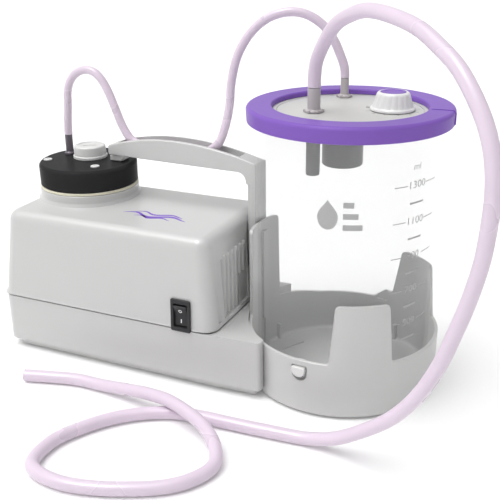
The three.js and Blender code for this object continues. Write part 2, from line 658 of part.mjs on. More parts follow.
// ---------- carry handle ----------
/** The arch's top line, a circle through its tip, crest and the post. */
function handleProfile() {
  const shape = new THREE.Shape();
  const right = 24.5;
  shape.moveTo(HANDLE_LEFT, HANDLE_UNDER_LEFT);
  shape.lineTo(POST_LEFT - 6, HANDLE_UNDER_RIGHT);
  shape.quadraticCurveTo(POST_LEFT, HANDLE_UNDER_RIGHT, POST_LEFT, HANDLE_UNDER_RIGHT - 6);
  shape.lineTo(POST_LEFT, COVER_BOTTOM);
  shape.lineTo(right, COVER_BOTTOM);
  shape.lineTo(right, 137.6);
  shape.quadraticCurveTo(-14, 149.4, HANDLE_CREST_X, HANDLE_CREST);
  shape.quadraticCurveTo(-72, 146.6, HANDLE_LEFT + 1, HANDLE_TIP);
  shape.closePath();
  return shape;
}

function carryHandle() {
  const arch = sideways(handleProfile(), HANDLE_FRONT, HANDLE_BACK);
  const flare = sideways(outline([[18.4, COVER_BOTTOM], [30, COVER_BOTTOM], [30, 98], [18.4, 92]]), -4, 21);
  const groove = sideways(outline([[-84, 160], [-84, 137.2, 3], [8, 137.2, 3], [14, 160]]),
    HANDLE_FRONT + GROOVE_WALL, HANDLE_BACK - GROOVE_WALL);
  return cut(
    join(arch, flare),
    groove,
    rod(JAR_AXIS, POST_FACE_RADIUS, 30, 160, ROUND * 2),
    rod(HANDLE_SCREW, 1.9, 120, 137.6),
    ...POST_SCREWS.map((place) => rod(place, 1.8, 30, 52)),
  );
}

piece('carry_handle', carryHandle(), housing);
piece('handle_pedestal', cut(
  block(-92.4, -82.7, 2.3, 12.5, CAP_TOP + GAP, HANDLE_UNDER_RIGHT + 1.2),
  rod(HANDLE_SCREW, 1.9, 120, 140),
), white);
piece('handle_screw', join(rod(HANDLE_SCREW, 3.2, 117.3, 119.7), rod(HANDLE_SCREW, 1.6, 119, 137)), steel);
POST_SCREWS.forEach((place, i) => {
  piece(`post_screw_${i + 1}`, join(rod(place, 2.6, 34.5, 37.5), rod(place, 1.5, 37, 51)), steel);
});

// ---------- jar ----------
piece('jar', turned(JAR_AXIS, [
  [0, JAR_BOTTOM], [JAR_RADIUS - 3, JAR_BOTTOM], [JAR_RADIUS, JAR_BOTTOM + 3], [JAR_RADIUS, JAR_RIM - 7],
  [58, JAR_RIM - 5], [58, JAR_RIM], [JAR_BORE, JAR_RIM], [JAR_BORE, JAR_BOTTOM + 1.8], [0, JAR_BOTTOM + 1.8],
], ROUND), clear);
piece('lid_seal', turned(JAR_AXIS, [
  [54.6, JAR_RIM + GAP], [57.6, JAR_RIM + GAP], [57.6, LID_BOTTOM - GAP], [54.6, LID_BOTTOM - GAP],
]), rubber);

piece('lid_disc', cut(
  join(
    turned(JAR_AXIS, [[0, LID_BOTTOM], [58.2, LID_BOTTOM], [58.2, LID_TOP], [0, LID_TOP]]),
    rod(VACUUM, 5.4, FLOAT_SEAT, LID_BOTTOM + 1, MEDIUM),
  ),
  rod(PATIENT, 3.3, 170, 190, MEDIUM),
  rod(VACUUM, 2.4, 170, 190, MEDIUM),
  rod(KNOB, 3.4, 170, 190, MEDIUM),
), nippleGrey);

const RING_SKIRT = 58.7; // inside radius of the skirt that closes round the jar's rim
piece('lid_ring', turned(JAR_AXIS, [
  [RING_OPENING, LID_TOP + GAP], [RING_SKIRT, LID_TOP + GAP], [RING_SKIRT, RING_BOTTOM],
  [RING_RADIUS - 0.8, RING_BOTTOM], [RING_RADIUS, RING_BOTTOM + 1], [RING_RADIUS, RING_TOP - 1.8],
  [RING_RADIUS - 1.8, RING_TOP], [RING_OPENING + 0.8, RING_TOP], [RING_OPENING, RING_TOP - 0.8],
]), purple);

// ---------- lid fittings ----------
/** A hose nipple through the lid: a spigot below, a flange and a tube above. */
function lidNipple(place, radius, bore, spigot, top) {
  const flange = radius + 1.6;
  return turned(place, [
    [bore, LID_BOTTOM], [spigot, LID_BOTTOM], [spigot, LID_TOP + GAP], [flange, LID_TOP + GAP],
    [flange, LID_TOP + 1.3], [radius, LID_TOP + 1.9], [radius, top], [bore, top],
  ], MEDIUM);
}

piece('patient_nipple', lidNipple(PATIENT, 3.9, 2.2, 3, 194.2), nippleGrey);
piece('vacuum_nipple', lidNipple(VACUUM, 2.7, 1.3, 2.1, 192), nippleGrey);
const PIPE_BOTTOM = 141;
const PIPE_TOP = 176; // the pipe and the cage meet the underside of the lid
piece('inlet_pipe', turned(PATIENT, [
  [3.3, PIPE_BOTTOM], [4.3, PIPE_BOTTOM], [4.3, PIPE_TOP], [3.3, PIPE_TOP],
], MEDIUM), innerGrey);

const CAGE_BOTTOM = 135;
const CAGE_RADIUS = 13.8;
function floatCage() {
  const tube = turned(VACUUM, [
    [8, CAGE_BOTTOM], [CAGE_RADIUS - 0.8, CAGE_BOTTOM], [CAGE_RADIUS, CAGE_BOTTOM + 0.8],
    [CAGE_RADIUS, PIPE_TOP], [12, PIPE_TOP], [12, CAGE_BOTTOM + 2], [8, CAGE_BOTTOM + 2],
  ], MEDIUM);
  const windows = [0, Math.PI / 2].map((turn) => {
    const box = new THREE.BoxGeometry(40, 5, 6).rotateZ(turn);
    return solid(box.translate(VACUUM[0], VACUUM[1], 166));
  });
  return cut(tube, ...windows);
}

piece('float_cage', floatCage(), innerGrey);
piece('float_valve', turned(VACUUM, [
  [0, 137.4], [9.4, 137.4], [10.4, 139], [10.4, 156], [8, 158], [0, 158],
], MEDIUM), white);
piece('float_seal', rod(VACUUM, 4.6, 158 + GAP, 160, MEDIUM), rubber);

function regulatorKnob() {
  const skirt = turned(KNOB, [
    [0, LID_TOP + GAP], [13.6, LID_TOP + GAP], [13.6, LID_TOP + 1.6], [12.1, LID_TOP + 1.8], [9.4, 190.2],
    [8.8, 190.8], [8, 190.8], [8, 190], [0, 190],
  ], MEDIUM);
  return cut(skirt, rod(KNOB, 2.6, 170, 188.2));
}

piece('regulator_knob', regulatorKnob(), nippleGrey);
piece('knob_inlay', rod(KNOB, 7.6, 190 + GAP, 190.9, MEDIUM), purple);
piece('regulator_spindle', join(rod(KNOB, 2.2, 168, 186.6), rod(KNOB, 1.1, 164, 169, SMALL, 2.2)), steel);
piece('regulator_body', cut(
  rod(KNOB, 9, 163, 176, MEDIUM),
  rod(KNOB, 2.6, 160, 180),
), innerGrey);

// ---------- hoses ----------
// The vacuum hose rises from the pump, drops into the handle's groove and loops over to the lid.
const VACUUM_ROUTE = [
  [-130, 7, 143.3], [-129.4, 7, 154], [-128.2, 7, 165], [-127.4, 7, 174], [-124.3, 7, 182],
  [-118, 7, 188.2], [-110, 7, 190.6], [-102.8, 7, 189], [-97.5, 7, 184], [-93, 7, 176.5],
  [-88.5, 7, 166], [-83, 7, 153], [-76.5, 7, 144.2], [-66, 7, 140.7], [-50, 7, 140.4], [-32, 7, 140.4],
  [-17, 7, 141.6], [-8.8, 7.6, 147.5], [-4.6, 9.4, 158], [-2, 11.6, 172], [-0.6, 12.4, 188],
  [3.2, 13.8, 204.5], [10, 15.8, 217.4], [19.3, 18.8, 227], [27.6, 21.3, 231.2], [36.8, 24.2, 232.8],
  [46, 27.1, 231], [55, 30, 225.2], [61.4, 32.1, 217], [66.2, 33.7, 206.6], [69, 34.5, 198.6],
  [69.5, 34.7, 192.3],
];

// The patient hose arches over the jar's right side, reaches the floor in front of it and ends in a loop.
const PATIENT_ROUTE = [
  [66.9, -15.2, 194.5], [67.1, -15.4, 202], [69, -17, 211], [82.4, -27.5, 231.2], [95.3, -37.9, 239],
  [109, -48.9, 242.6], [138, -72, 238.6], [153, -84, 231.2], [166.4, -94.8, 221.4],
  [181.8, -107, 199.2], [187.3, -111.4, 179], [186.7, -111.8, 144.8], [182.8, -110.8, 122.6],
  [176.6, -109.2, 99.8], [168.6, -107.2, 75.6], [158.2, -104.6, 54.6], [145, -101.2, 37],
  [129, -97.2, 22.6], [111.8, -93.2, 10.6], [94, -91.2, 4.5], [76, -92.6, 4.2], [45, -94.4, 4.2],
  [26, -95.2, 4.2], [8, -98.4, 4.2], [-8, -106.2, 4.2], [-22, -118, 4.2], [-34, -135, 4.2],
  [-41.4, -153, 4.2], [-38, -176, 4.2], [-16, -182.8, 4.2], [18, -174.8, 4.2], [47, -156.8, 4.2],
  [55.6, -134.6, 4.6], [41, -114.4, 9.4], [9, -99.6, 12.8], [-10, -95, 11.4], [-30, -90.8, 7.6],
  [-50, -88.2, 4.6], [-70, -88.2, 4.2], [-105, -97.2, 4.2],
];

/** A hose swept along a smooth curve through its route. */
function hose(route, radius, steps, sides) {
  const path = new THREE.CatmullRomCurve3(route.map((point) => new THREE.Vector3(...point)));
  const section = new THREE.Shape();
  for (let i = 0; i < sides; i++) {
    const angle = (i * 2 * Math.PI) / sides;
    const [x, y] = [radius * Math.cos(angle), radius * Math.sin(angle)];
    if (i === 0) section.moveTo(x, y);
    else section.lineTo(x, y);
  }
  section.closePath();
  return solid(new THREE.ExtrudeGeometry(section, { steps, bevelEnabled: false, extrudePath: path }));
}

piece('vacuum_hose', hose(VACUUM_ROUTE, VACUUM_HOSE_RADIUS, 44, 8), hosePink);
piece('patient_hose', hose(PATIENT_ROUTE, PATIENT_HOSE_RADIUS, 72, 8), hosePink);

export default pump;
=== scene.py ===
"""Looks of the portable suction pump: housing, cup, clear jar, lid, pump head, handle and hoses.

Lengths are in millimetres until new_piece() turns them into Blender's metres. +Z is up, +X points
from the pump head to the jar, and the origin is at the middle of the footprint.
"""

import math

import bmesh
import bpy
from mathutils import Matrix, Vector


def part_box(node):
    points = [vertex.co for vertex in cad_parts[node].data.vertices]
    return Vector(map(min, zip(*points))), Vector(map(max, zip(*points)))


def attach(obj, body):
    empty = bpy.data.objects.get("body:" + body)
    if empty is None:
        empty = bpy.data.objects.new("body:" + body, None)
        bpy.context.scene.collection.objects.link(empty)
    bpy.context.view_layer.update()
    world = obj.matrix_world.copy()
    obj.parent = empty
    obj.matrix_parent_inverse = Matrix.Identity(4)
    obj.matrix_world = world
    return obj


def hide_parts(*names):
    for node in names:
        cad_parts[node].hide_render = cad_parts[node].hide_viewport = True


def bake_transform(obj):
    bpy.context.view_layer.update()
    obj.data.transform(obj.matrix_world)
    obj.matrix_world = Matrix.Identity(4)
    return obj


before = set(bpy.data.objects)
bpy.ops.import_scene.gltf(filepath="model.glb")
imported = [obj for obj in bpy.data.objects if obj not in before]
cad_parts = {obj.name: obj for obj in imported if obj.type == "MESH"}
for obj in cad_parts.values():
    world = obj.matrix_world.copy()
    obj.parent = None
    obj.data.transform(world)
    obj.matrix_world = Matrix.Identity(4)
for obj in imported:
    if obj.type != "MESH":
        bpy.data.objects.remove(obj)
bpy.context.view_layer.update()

MM = 0.001
TAU = 2 * math.pi


def span(node):
    """Lowest and highest corner of a CAD node, in millimetres."""
    low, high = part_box(node)
    return Vector(low) / MM, Vector(high) / MM


def middle(node):
    low, high = span(node)
    return (low + high) / 2


# ---------- camera ----------
CAMERA_PLACE = (0.2360, -0.4796, 0.2863)
CAMERA_AZIMUTH = math.radians(24.52)
CAMERA_PITCH = math.radians(21.58)
CAMERA_ROLL = -0.01


def add_object(name, data):
    added = bpy.data.objects.new(name, data)
    bpy.context.scene.collection.objects.link(added)
    return added


def make_camera():
    data = bpy.data.cameras.new("camera")
    data.sensor_width = 36
    data.lens = 60
    data.clip_start, data.clip_end = 0.01, 30
    camera = add_object("camera", data)
    turn = Matrix.Rotation(CAMERA_AZIMUTH, 3, "Z")
    tilt = Matrix.Rotation(math.pi / 2 - CAMERA_PITCH, 3, "X")
    roll = Matrix.Rotation(CAMERA_ROLL, 3, "Z")
    camera.matrix_world = Matrix.Translation(CAMERA_PLACE) @ (turn @ tilt @ roll).to_4x4()
    bpy.context.scene.camera = camera


make_camera()


# ---------- meshes ----------
def new_piece(name, points, faces):
    """A mesh object from points in millimetres, its faces turned outwards."""
    mesh = bpy.data.meshes.new(name)
    mesh.from_pydata([Vector(p) * MM for p in points], [], faces)
    shape = bmesh.new()
    shape.from_mesh(mesh)
    bmesh.ops.recalc_face_normals(shape, faces=shape.faces)
    shape.to_mesh(mesh)
    shape.free()
    return add_object(name, mesh)


def discard(piece):
    mesh = piece.data
    bpy.data.objects.remove(piece)
    bpy.data.meshes.remove(mesh)


def move(piece, matrix):
    """Moves a mesh by a matrix given in millimetres."""
    matrix = matrix.copy()
    matrix.translation *= MM
    piece.data.transform(matrix)
    return piece


def turned(piece, place, angle, axis="Z"):
    """Turns a piece about the origin that it is drawn at, then carries it to its place."""
    return move(piece, Matrix.Translation(place) @ Matrix.Rotation(angle, 4, axis))


def rounded(corners, closed=True, steps=6):
    """An outline through [x, y, radius] corners, with an arc at each corner that has a radius."""
    points = []
    count = len(corners)
    for i, corner in enumerate(corners):
        here = Vector(corner[:2])
        radius = corner[2] if len(corner) > 2 else 0
        if radius == 0 or (not closed and i in (0, count - 1)):
            points.append(here)
            continue
        back = (Vector(corners[i - 1][:2]) - here).normalized()
        ahead = (Vector(corners[(i + 1) % count][:2]) - here).normalized()
        half = back.angle(ahead) / 2
        centre = here + (back + ahead).normalized() * radius / math.sin(half)
        reach = radius / math.tan(half)
        start = here + back * reach - centre
        end = here + ahead * reach - centre
        sweep = math.atan2(start.cross(end), start.dot(end))
        for k in range(steps + 1):
            points.append(centre + Matrix.Rotation(sweep * k / steps, 2) @ start)
    return points


def lathe(name, centre, profile, segments, steps=5):
    """A [radius, height, fillet] profile turned about the vertical line through the centre."""
    closed = profile[0][0] > 0
    line = rounded(profile, closed, steps)
    points, rows = [], []
    for radius, z in line:
        if radius < 1e-6:
            rows.append([len(points)] * segments)
            points.append((centre[0], centre[1], z))
            continue
        rows.append(list(range(len(points), len(points) + segments)))
        for k in range(segments):
            angle = TAU * k / segments
            points.append((centre[0] + radius * math.cos(angle), centre[1] + radius * math.sin(angle), z))
    pairs = list(zip(rows, rows[1:] + rows[:1])) if closed else list(zip(rows, rows[1:]))
    faces = []
    for low, high in pairs:
        for k in range(segments):
            n = (k + 1) % segments
            corners = []
            for index in (low[k], low[n], high[n], high[k]):
                if index not in corners:
                    corners.append(index)
            if len(corners) > 2:
                faces.append(corners)
    return new_piece(name, points, faces)


def drum(name, centre, radius, low, high, segments):
    return lathe(name, centre, [(0, low), (radius, low), (radius, high), (0, high)], segments)


def prism(name, outline, low, high, axis="Z"):
    """A flat outline given depth along Z, or an outline in x and z given depth along Y."""
    place = (lambda x, y, d: (x, y, d)) if axis == "Z" else (lambda x, y, d: (x, d, y))
    return skin(name, [[place(x, y, depth) for x, y in outline] for depth in (low, high)])


def block(name, low, high):
    (x0, y0, z0), (x1, y1, z1) = low, high
    return prism(name, [(x0, y0), (x1, y0), (x1, y1), (x0, y1)], z0, z1)


def skin(name, rings, caps=True):
    """A skin over rings of points with the same count, with end caps or joined end to end."""
    count, levels = len(rings[0]), len(rings)
    faces = []
    for level in range(levels - 1 if caps else levels):
        low, high = level * count, (level + 1) % levels * count
        for k in range(count):
            n = (k + 1) % count
            faces.append([low + k, low + n, high + n, high + k])
    if caps:
        faces += [list(range(count))[::-1], list(range((levels - 1) * count, levels * count))]
    return new_piece(name, [p for ring in rings for p in ring], faces)


def drafted_box(name, x, y, z, corner, edge, draft, around, bends):
    """A box with rounded corners and top edge whose walls lean in by the draft towards the top."""
    levels = [(z[0], 0)]
    for k in range(bends + 1):
        turn = math.pi / 2 * k / bends
        levels.append((z[1] - edge + edge * math.sin(turn), edge * (1 - math.cos(turn))))
    rings = []
    for height, inset in levels:
        rise = (height - z[0]) / (z[1] - z[0])
        left, right = x[0] + draft["left"] * rise + corner, x[1] - draft["right"] * rise - corner
        front, back = y[0] + draft["front"] * rise + corner, y[1] - draft["back"] * rise - corner
        ring = []
        for quarter, (cx, cy) in enumerate([(right, back), (left, back), (left, front), (right, front)]):
            for k in range(around):
                angle = (quarter + k / (around - 1)) * math.pi / 2
                radius = corner - inset
                ring.append((cx + radius * math.cos(angle), cy + radius * math.sin(angle), height))
        rings.append(ring)
    return skin(name, rings)


def bake_modifiers(piece):
    bpy.context.view_layer.update()
    graph = bpy.context.evaluated_depsgraph_get()
    mesh = bpy.data.meshes.new_from_object(piece.evaluated_get(graph))
    old = piece.data
    piece.modifiers.clear()
    piece.data = mesh
    bpy.data.meshes.remove(old)
    return piece


def combine(body, tools, operation):
    for tool in tools:
        modifier = body.modifiers.new("boolean", "BOOLEAN")
        modifier.operation = operation
        modifier.solver = "EXACT"
        modifier.object = tool
    bake_modifiers(body)
    for tool in tools:
        discard(tool)
    return body


def join(body, *tools):
    return combine(body, tools, "UNION")


def cut(body, *tools):
    return combine(body, tools, "DIFFERENCE")


def overlap(body, *tools):
    return combine(body, tools, "INTERSECT")


def soften(piece, width, angle=32, segments=2):
    """Rounds the edges that are sharper than the angle."""
    bevel = piece.modifiers.new("bevel", "BEVEL")
    bevel.width = width * MM
    bevel.segments = segments
    bevel.limit_method = "ANGLE"
    bevel.angle_limit = math.radians(angle)
    bevel.use_clamp_overlap = True
    return bake_modifiers(piece)


def smooth(piece, sharp=40):
    """Smooth shading with flat faces kept flat."""
    piece.data.shade_smooth()
    piece.data.set_sharp_from_angle(angle=math.radians(sharp))
    weighted = piece.modifiers.new("normals", "WEIGHTED_NORMAL")
    weighted.keep_sharp = True
    weighted.weight = 90
    return piece


def merge(name, pieces):
    """Several separate solids as one object."""
    points, faces = [], []
    for piece in pieces:
        start = len(points)
        points += [vertex.co / MM for vertex in piece.data.vertices]
        faces += [[start + i for i in polygon.vertices] for polygon in piece.data.polygons]
        discard(piece)
    return new_piece(name, points, faces)


# ---------- materials ----------
class Look:
    """A material's node tree with a few shorthand calls."""

    def __init__(self, name):
        self.material = bpy.data.materials.new(name)
        self.material.use_nodes = True
        self.tree = self.material.node_tree
        self.shader = self.tree.nodes["Principled BSDF"]
        self.place = self.node("ShaderNodeTexCoord").outputs["Object"]

    def node(self, kind, values=(), **settings):
        """A node with its settings and the values of its inputs."""
        node = self.tree.nodes.new(kind)
        for key, value in settings.items():
            setattr(node, key, value)
        for key, value in dict(values).items():
            node.inputs[key].default_value = value
        return node

    def link(self, source, target):
        self.tree.links.new(source, target)

    def noise(self, scale, detail=2, roughness=0.5):
        node = self.node("ShaderNodeTexNoise", {"Scale": scale, "Detail": detail, "Roughness": roughness})
        self.link(self.place, node.inputs["Vector"])
        return node.outputs["Fac"]

    def sheen(self, source, low, high):
        """Roughness that follows a noise from low to high."""
        ends = {"From Min": 0.3, "From Max": 0.7, "To Min": low, "To Max": high}
        node = self.node("ShaderNodeMapRange", ends)
        self.link(source, node.inputs["Value"])
        self.link(node.outputs["Result"], self.shader.inputs["Roughness"])

    def colour(self, source, first, second):
        """Base colour that follows a noise from the first to the second."""
        node = self.node("ShaderNodeMix", {"A": (*first, 1), "B": (*second, 1)}, data_type="RGBA")
        self.link(source, node.inputs["Factor"])
        self.link(node.outputs["Result"], self.shader.inputs["Base Color"])

    def bump(self, source, depth):
        node = self.node("ShaderNodeBump", {"Strength": 1, "Distance": depth * MM})
        self.link(source, node.inputs["Height"])
        self.link(node.outputs["Normal"], self.shader.inputs["Normal"])

    def set(self, **values):
        for name, value in values.items():
            self.shader.inputs[name.replace("_", " ")].default_value = value


def tint(colour, factor):
    return tuple(min(1.0, c * factor) for c in colour)


def moulded(name, colour, roughness, grain, mottle, grain_scale=1500):
    """Moulded plastic or rubber: a fine spark-eroded grain and a slightly uneven tone and sheen."""
    look = Look(name)
    look.colour(look.noise(38, 4, 0.6), tint(colour, 1 - mottle), tint(colour, 1 + mottle))
    look.sheen(look.noise(95, 3, 0.65), roughness - 0.01, roughness + 0.02)
    look.bump(look.noise(grain_scale, 3, 0.6), grain)
    return look


def metal(name, colour, roughness, streak=(1, 1, 1), scale=700):
    """Metal with turning or rolling marks that run across the given stretch."""
    look = Look(name)
    stretch = look.node("ShaderNodeMapping", {"Scale": streak})
    look.link(look.place, stretch.inputs["Vector"])
    look.place = stretch.outputs["Vector"]
    marks = look.noise(scale, 4, 0.6)
    look.colour(marks, tint(colour, 0.86), tint(colour, 1.08))
    look.sheen(marks, roughness - 0.08, roughness + 0.12)
    look.set(Metallic=1.0)
    look.bump(marks, 0.01)
    return look


def clear_plastic(name, colour, alpha, roughness=0.06):
    """Clear moulded plastic with faint flow ripples."""
    look = Look(name)
    ripple = look.noise(22, 2, 0.5)
    look.colour(ripple, tint(colour, 0.97), colour)
    look.sheen(ripple, roughness, roughness + 0.05)
    look.set(Alpha=alpha, IOR=1.5)
    look.bump(ripple, 0.03)
    return look


def hose_material(name, colour, roughness=0.28):
    """Soft translucent tubing with faint extrusion bands."""
    look = Look(name)
    bands = look.noise(30, 2, 0.5)
    look.colour(bands, tint(colour, 0.98), tint(colour, 1.01))
    look.sheen(bands, roughness - 0.02, roughness + 0.04)
    look.set(Transmission_Weight=0.12, IOR=1.42)
    look.bump(look.noise(900, 2, 0.5), 0.008)
    return look


HOUSING = moulded("housing_plastic", (0.55, 0.55, 0.545), 0.3, 0.012, 0.012)
WHITE = moulded("white_plastic", (0.68, 0.68, 0.67), 0.4, 0.015, 0.02)
BLACK = moulded("black_plastic", (0.028, 0.028, 0.029), 0.3, 0.03, 0.15)
BLACK.set(Specular_IOR_Level=0.01)
SWITCH = moulded("switch_plastic", (0.03, 0.03, 0.032), 0.4, 0.02, 0.1)
SWITCH.set(Specular_IOR_Level=0.25)
NIPPLE_DARK = moulded("dark_nipple_plastic", (0.12, 0.10, 0.125), 0.4, 0.01, 0.05)
GASKET = moulded("gasket_rubber", (0.78, 0.75, 0.60), 0.6, 0.03, 0.04)
RUBBER = moulded("black_rubber", (0.02, 0.02, 0.02), 0.75, 0.04, 0.2)
FELT = moulded("filter_felt", (0.70, 0.68, 0.58), 0.95, 0.25, 0.1, 900)
PURPLE = moulded("purple_plastic", (0.21, 0.108, 0.45), 0.32, 0.01, 0.03)
PURPLE.set(Specular_IOR_Level=0.06)
LID = moulded("lid_plastic", (0.53, 0.53, 0.515), 0.42, 0.015, 0.02)
LID_TUBE = moulded("lid_tube_plastic", (0.47, 0.44, 0.45), 0.35, 0.01, 0.03)
KNOB = moulded("knob_plastic", (0.77, 0.77, 0.76), 0.35, 0.012, 0.02)
# painted shade: the float cage, drop pipe and regulator body are light grey parts given a dark grey that
# stands in for the shade they sit in behind the clear jar
SHADED_INNER = moulded("inner_plastic_painted_shade", (0.22, 0.22, 0.22), 0.4, 0.01, 0.05)
PRINT = moulded("print_grey", (0.40, 0.40, 0.40), 0.6, 0.004, 0.03)
LEGEND = moulded("print_white", (0.85, 0.85, 0.85), 0.5, 0.004, 0.03)
SPLASH = moulded("print_purple", (0.19, 0.09, 0.52), 0.5, 0.004, 0.05)
STEEL = metal("bright_steel", (0.55, 0.56, 0.58), 0.3)
SHAFT_STEEL = metal("ground_steel", (0.6, 0.61, 0.63), 0.25, (0.05, 1, 1))
CAN_STEEL = metal("plated_steel", (0.5, 0.51, 0.52), 0.4, (0.05, 1, 1), 500)
CAST = metal("cast_alloy", (0.5, 0.51, 0.52), 0.55, (1, 1, 1), 1200)
BRONZE = metal("sintered_bronze", (0.44, 0.27, 0.15), 0.5, (1, 1, 1), 1500)
COPPER = metal("wound_copper", (0.52, 0.24, 0.11), 0.4, (0.1, 1, 1), 900)
CLEAR = clear_plastic("clear_polycarbonate", (0.42, 0.43, 0.43), 0.08)
HOSE = hose_material("soft_tubing", (0.76, 0.65, 0.76))


def dress(piece, look, body, slot, *stands_for):
    """Gives a piece its material, its body and what it stands for."""
    piece.data.materials.clear()
    piece.data.materials.append(look.material)
    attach(piece, body)
    if stands_for:
        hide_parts(*stands_for)


# ---------- hoses ----------
VACUUM_ROUTE = [
    (-130, 7, 143.3), (-129.4, 7, 154), (-128.2, 7, 165), (-127.4, 7, 174), (-124.3, 7, 182),
    (-118, 7, 188.2), (-110, 7, 190.6), (-102.8, 7, 189), (-97.5, 7, 184), (-93, 7, 176.5),
    (-88.5, 7, 166), (-83, 7, 153), (-76.5, 7, 144.2), (-66, 7, 140.7), (-50, 7, 140.4),
    (-32, 7, 140.4), (-17, 7, 141.6), (-8.8, 7.6, 147.5), (-4.6, 9.4, 158), (-2, 11.6, 172),
    (-0.6, 12.4, 188), (3.2, 13.8, 204.5), (10, 15.8, 217.4), (19.3, 18.8, 227), (27.6, 21.3, 231.2),
    (36.8, 24.2, 232.8), (46, 27.1, 231), (55, 30, 225.2), (61.4, 32.1, 217), (66.2, 33.7, 206.6),
    (69, 34.5, 198.6), (69.5, 34.7, 192.3),
]
PATIENT_ROUTE = [
    (66.9, -15.2, 194.5), (67.1, -15.4, 202), (69, -17, 211), (82.4, -27.5, 231.2), (95.3, -37.9, 239),
    (109, -48.9, 242.6), (138, -72, 238.6), (153, -84, 231.2), (166.4, -94.8, 221.4), (181.8, -107, 199.2),
    (187.3, -111.4, 179), (186.7, -111.8, 144.8), (182.8, -110.8, 122.6), (176.6, -109.2, 99.8),
    (168.6, -107.2, 75.6), (158.2, -104.6, 54.6), (145, -101.2, 37), (129, -97.2, 22.6), (111.8, -93.2, 10.6),
    (94, -91.2, 4.5), (76, -92.6, 4.2), (45, -94.4, 4.2), (26, -95.2, 4.2), (8, -98.4, 4.2),
    (-8, -106.2, 4.2), (-22, -118, 4.2), (-34, -135, 4.2), (-41.4, -153, 4.2), (-38, -176, 4.2),
    (-16, -182.8, 4.2), (18, -174.8, 4.2), (47, -156.8, 4.2), (55.6, -134.6, 4.6), (41, -114.4, 9.4),
    (9, -99.6, 12.8), (-10, -95, 11.4), (-30, -90.8, 7.6), (-50, -88.2, 4.6), (-70, -88.2, 4.2),
    (-105, -97.2, 4.2),
]
RING_SPACING = 2.0
HOSE_SIDES = 28
CURVE_STEPS = 12  # short steps between two points of a route, before they are spaced evenly


def flowing(route, spacing):
    """Evenly spaced points on a centripetal Catmull-Rom curve through the route."""
    points = [Vector(p) for p in route]
    points = [2 * points[0] - points[1], *points, 2 * points[-1] - points[-2]]
    fine = []
    for i in range(1, len(points) - 2):
        p = points[i - 1 : i + 3]
        t = [0.0]
        for a, b in zip(p, p[1:]):
            t.append(t[-1] + math.sqrt((b - a).length))
        for k in range(CURVE_STEPS):
            s = t[1] + (t[2] - t[1]) * k / CURVE_STEPS
            level = p
            for reach in (1, 2):
                level = [
                    ((t[j + reach] - s) * a + (s - t[j]) * b) / (t[j + reach] - t[j])
                    for j, (a, b) in enumerate(zip(level, level[1:]))
                ]
            fine.append(((t[2] - s) * level[0] + (s - t[1]) * level[1]) / (t[2] - t[1]))
    fine.append(points[-2])
    travelled = [0.0]
    for a, b in zip(fine, fine[1:]):
        travelled.append(travelled[-1] + (b - a).length)
    steps = round(travelled[-1] / spacing)
    even, j = [], 0
    for k in range(steps + 1):
        goal = travelled[-1] * k / steps
        while j < len(fine) - 2 and travelled[j + 1] < goal:
            j += 1
        share = (goal - travelled[j]) / (travelled[j + 1] - travelled[j])
        even.append(fine[j].lerp(fine[j + 1], share))
    return even, travelled[-1]


def rings_along(line, radius, sides):
    """Rings of points square to a line, without twist."""
    direction = (line[1] - line[0]).normalized()
    side = direction.orthogonal().normalized()
    rings = []
    for i, point in enumerate(line):
        ahead = (line[min(i + 1, len(line) - 1)] - line[max(i - 1, 0)]).normalized()
        side = direction.rotation_difference(ahead) @ side
        direction = ahead
        other = direction.cross(side)
        rings.append([
            point + radius * (math.cos(TAU * k / sides) * side + math.sin(TAU * k / sides) * other)
            for k in range(sides)
        ])
    return rings


def hose(name, node, route, radius, bore):
    """A tube with a wall, open at both ends, that curves along its route."""
    line, length = flowing(route, RING_SPACING)
    rings = rings_along(line, radius, HOSE_SIDES) + rings_along(line, bore, HOSE_SIDES)[::-1]
    piece = smooth(skin(name, rings, caps=False))
    piece.modifiers.clear()
    piece.data.materials.append(HOSE.material)
    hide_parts(node)
    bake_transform(piece)


VACUUM_RADIUS, VACUUM_BORE = 2.9, 1.8
PATIENT_RADIUS, PATIENT_BORE = 4.0, 2.5
hose(
    "vacuum_tubing", "vacuum_hose", VACUUM_ROUTE, VACUUM_RADIUS, VACUUM_BORE,
)
hose(
    "patient_tubing", "patient_hose", PATIENT_ROUTE, PATIENT_RADIUS, PATIENT_BORE,
)

# ---------- places taken from the frame ----------
JAR = middle("jar")
JAR_RADIUS = (span("jar")[1] - JAR).x - 1.7  # the rim stands out 1.7 beyond the wall
TRAY_LOW = span("base_tray")[0]
COVER_SCREWS = [middle(f"cover_screw_{i}") for i in range(1, 5)]
HEAD = middle("pump_head_cap")
HEAD_LOW, HEAD_HIGH = span("pump_head_cap")
KNOB_AXIS = middle("regulator_knob")
PATIENT_AXIS = middle("patient_nipple")
VACUUM_AXIS = middle("vacuum_nipple")
CAGE_AXIS = middle("float_cage")
RING_LOW, RING_HIGH = span("lid_ring")

# ---------- lower housing ----------
TRAY_RIGHT = 16.4
COVER_RIGHT = 17.9
TRAY_BOTTOM, TRAY_TOP = 6.5, 40.8
BRIDGE_END, BRIDGE_BACK_END = 49.4, 36  # where the bridge to the cup ends, in front and behind
SEAM = 0.45  # how far each housing stops short of the line where they meet
CUP_CLEARANCE = 62.6
HOUSING_BACK = 36.2
WALL = 2.6
SCREW_HOLE = 1.9
BEYOND = 5  # how far a cutting block stands out beyond what it cuts


def tray_outline(inset):
    left, front, back = TRAY_LOW.x + inset, TRAY_LOW.y + inset, HOUSING_BACK - inset
    return rounded([
        (left, front, 8), (TRAY_RIGHT, front, 30), (BRIDGE_END - inset, front + 1.4, 2.5),
        (BRIDGE_END - inset, 20), (BRIDGE_BACK_END, back), (left, back, 8),
    ])


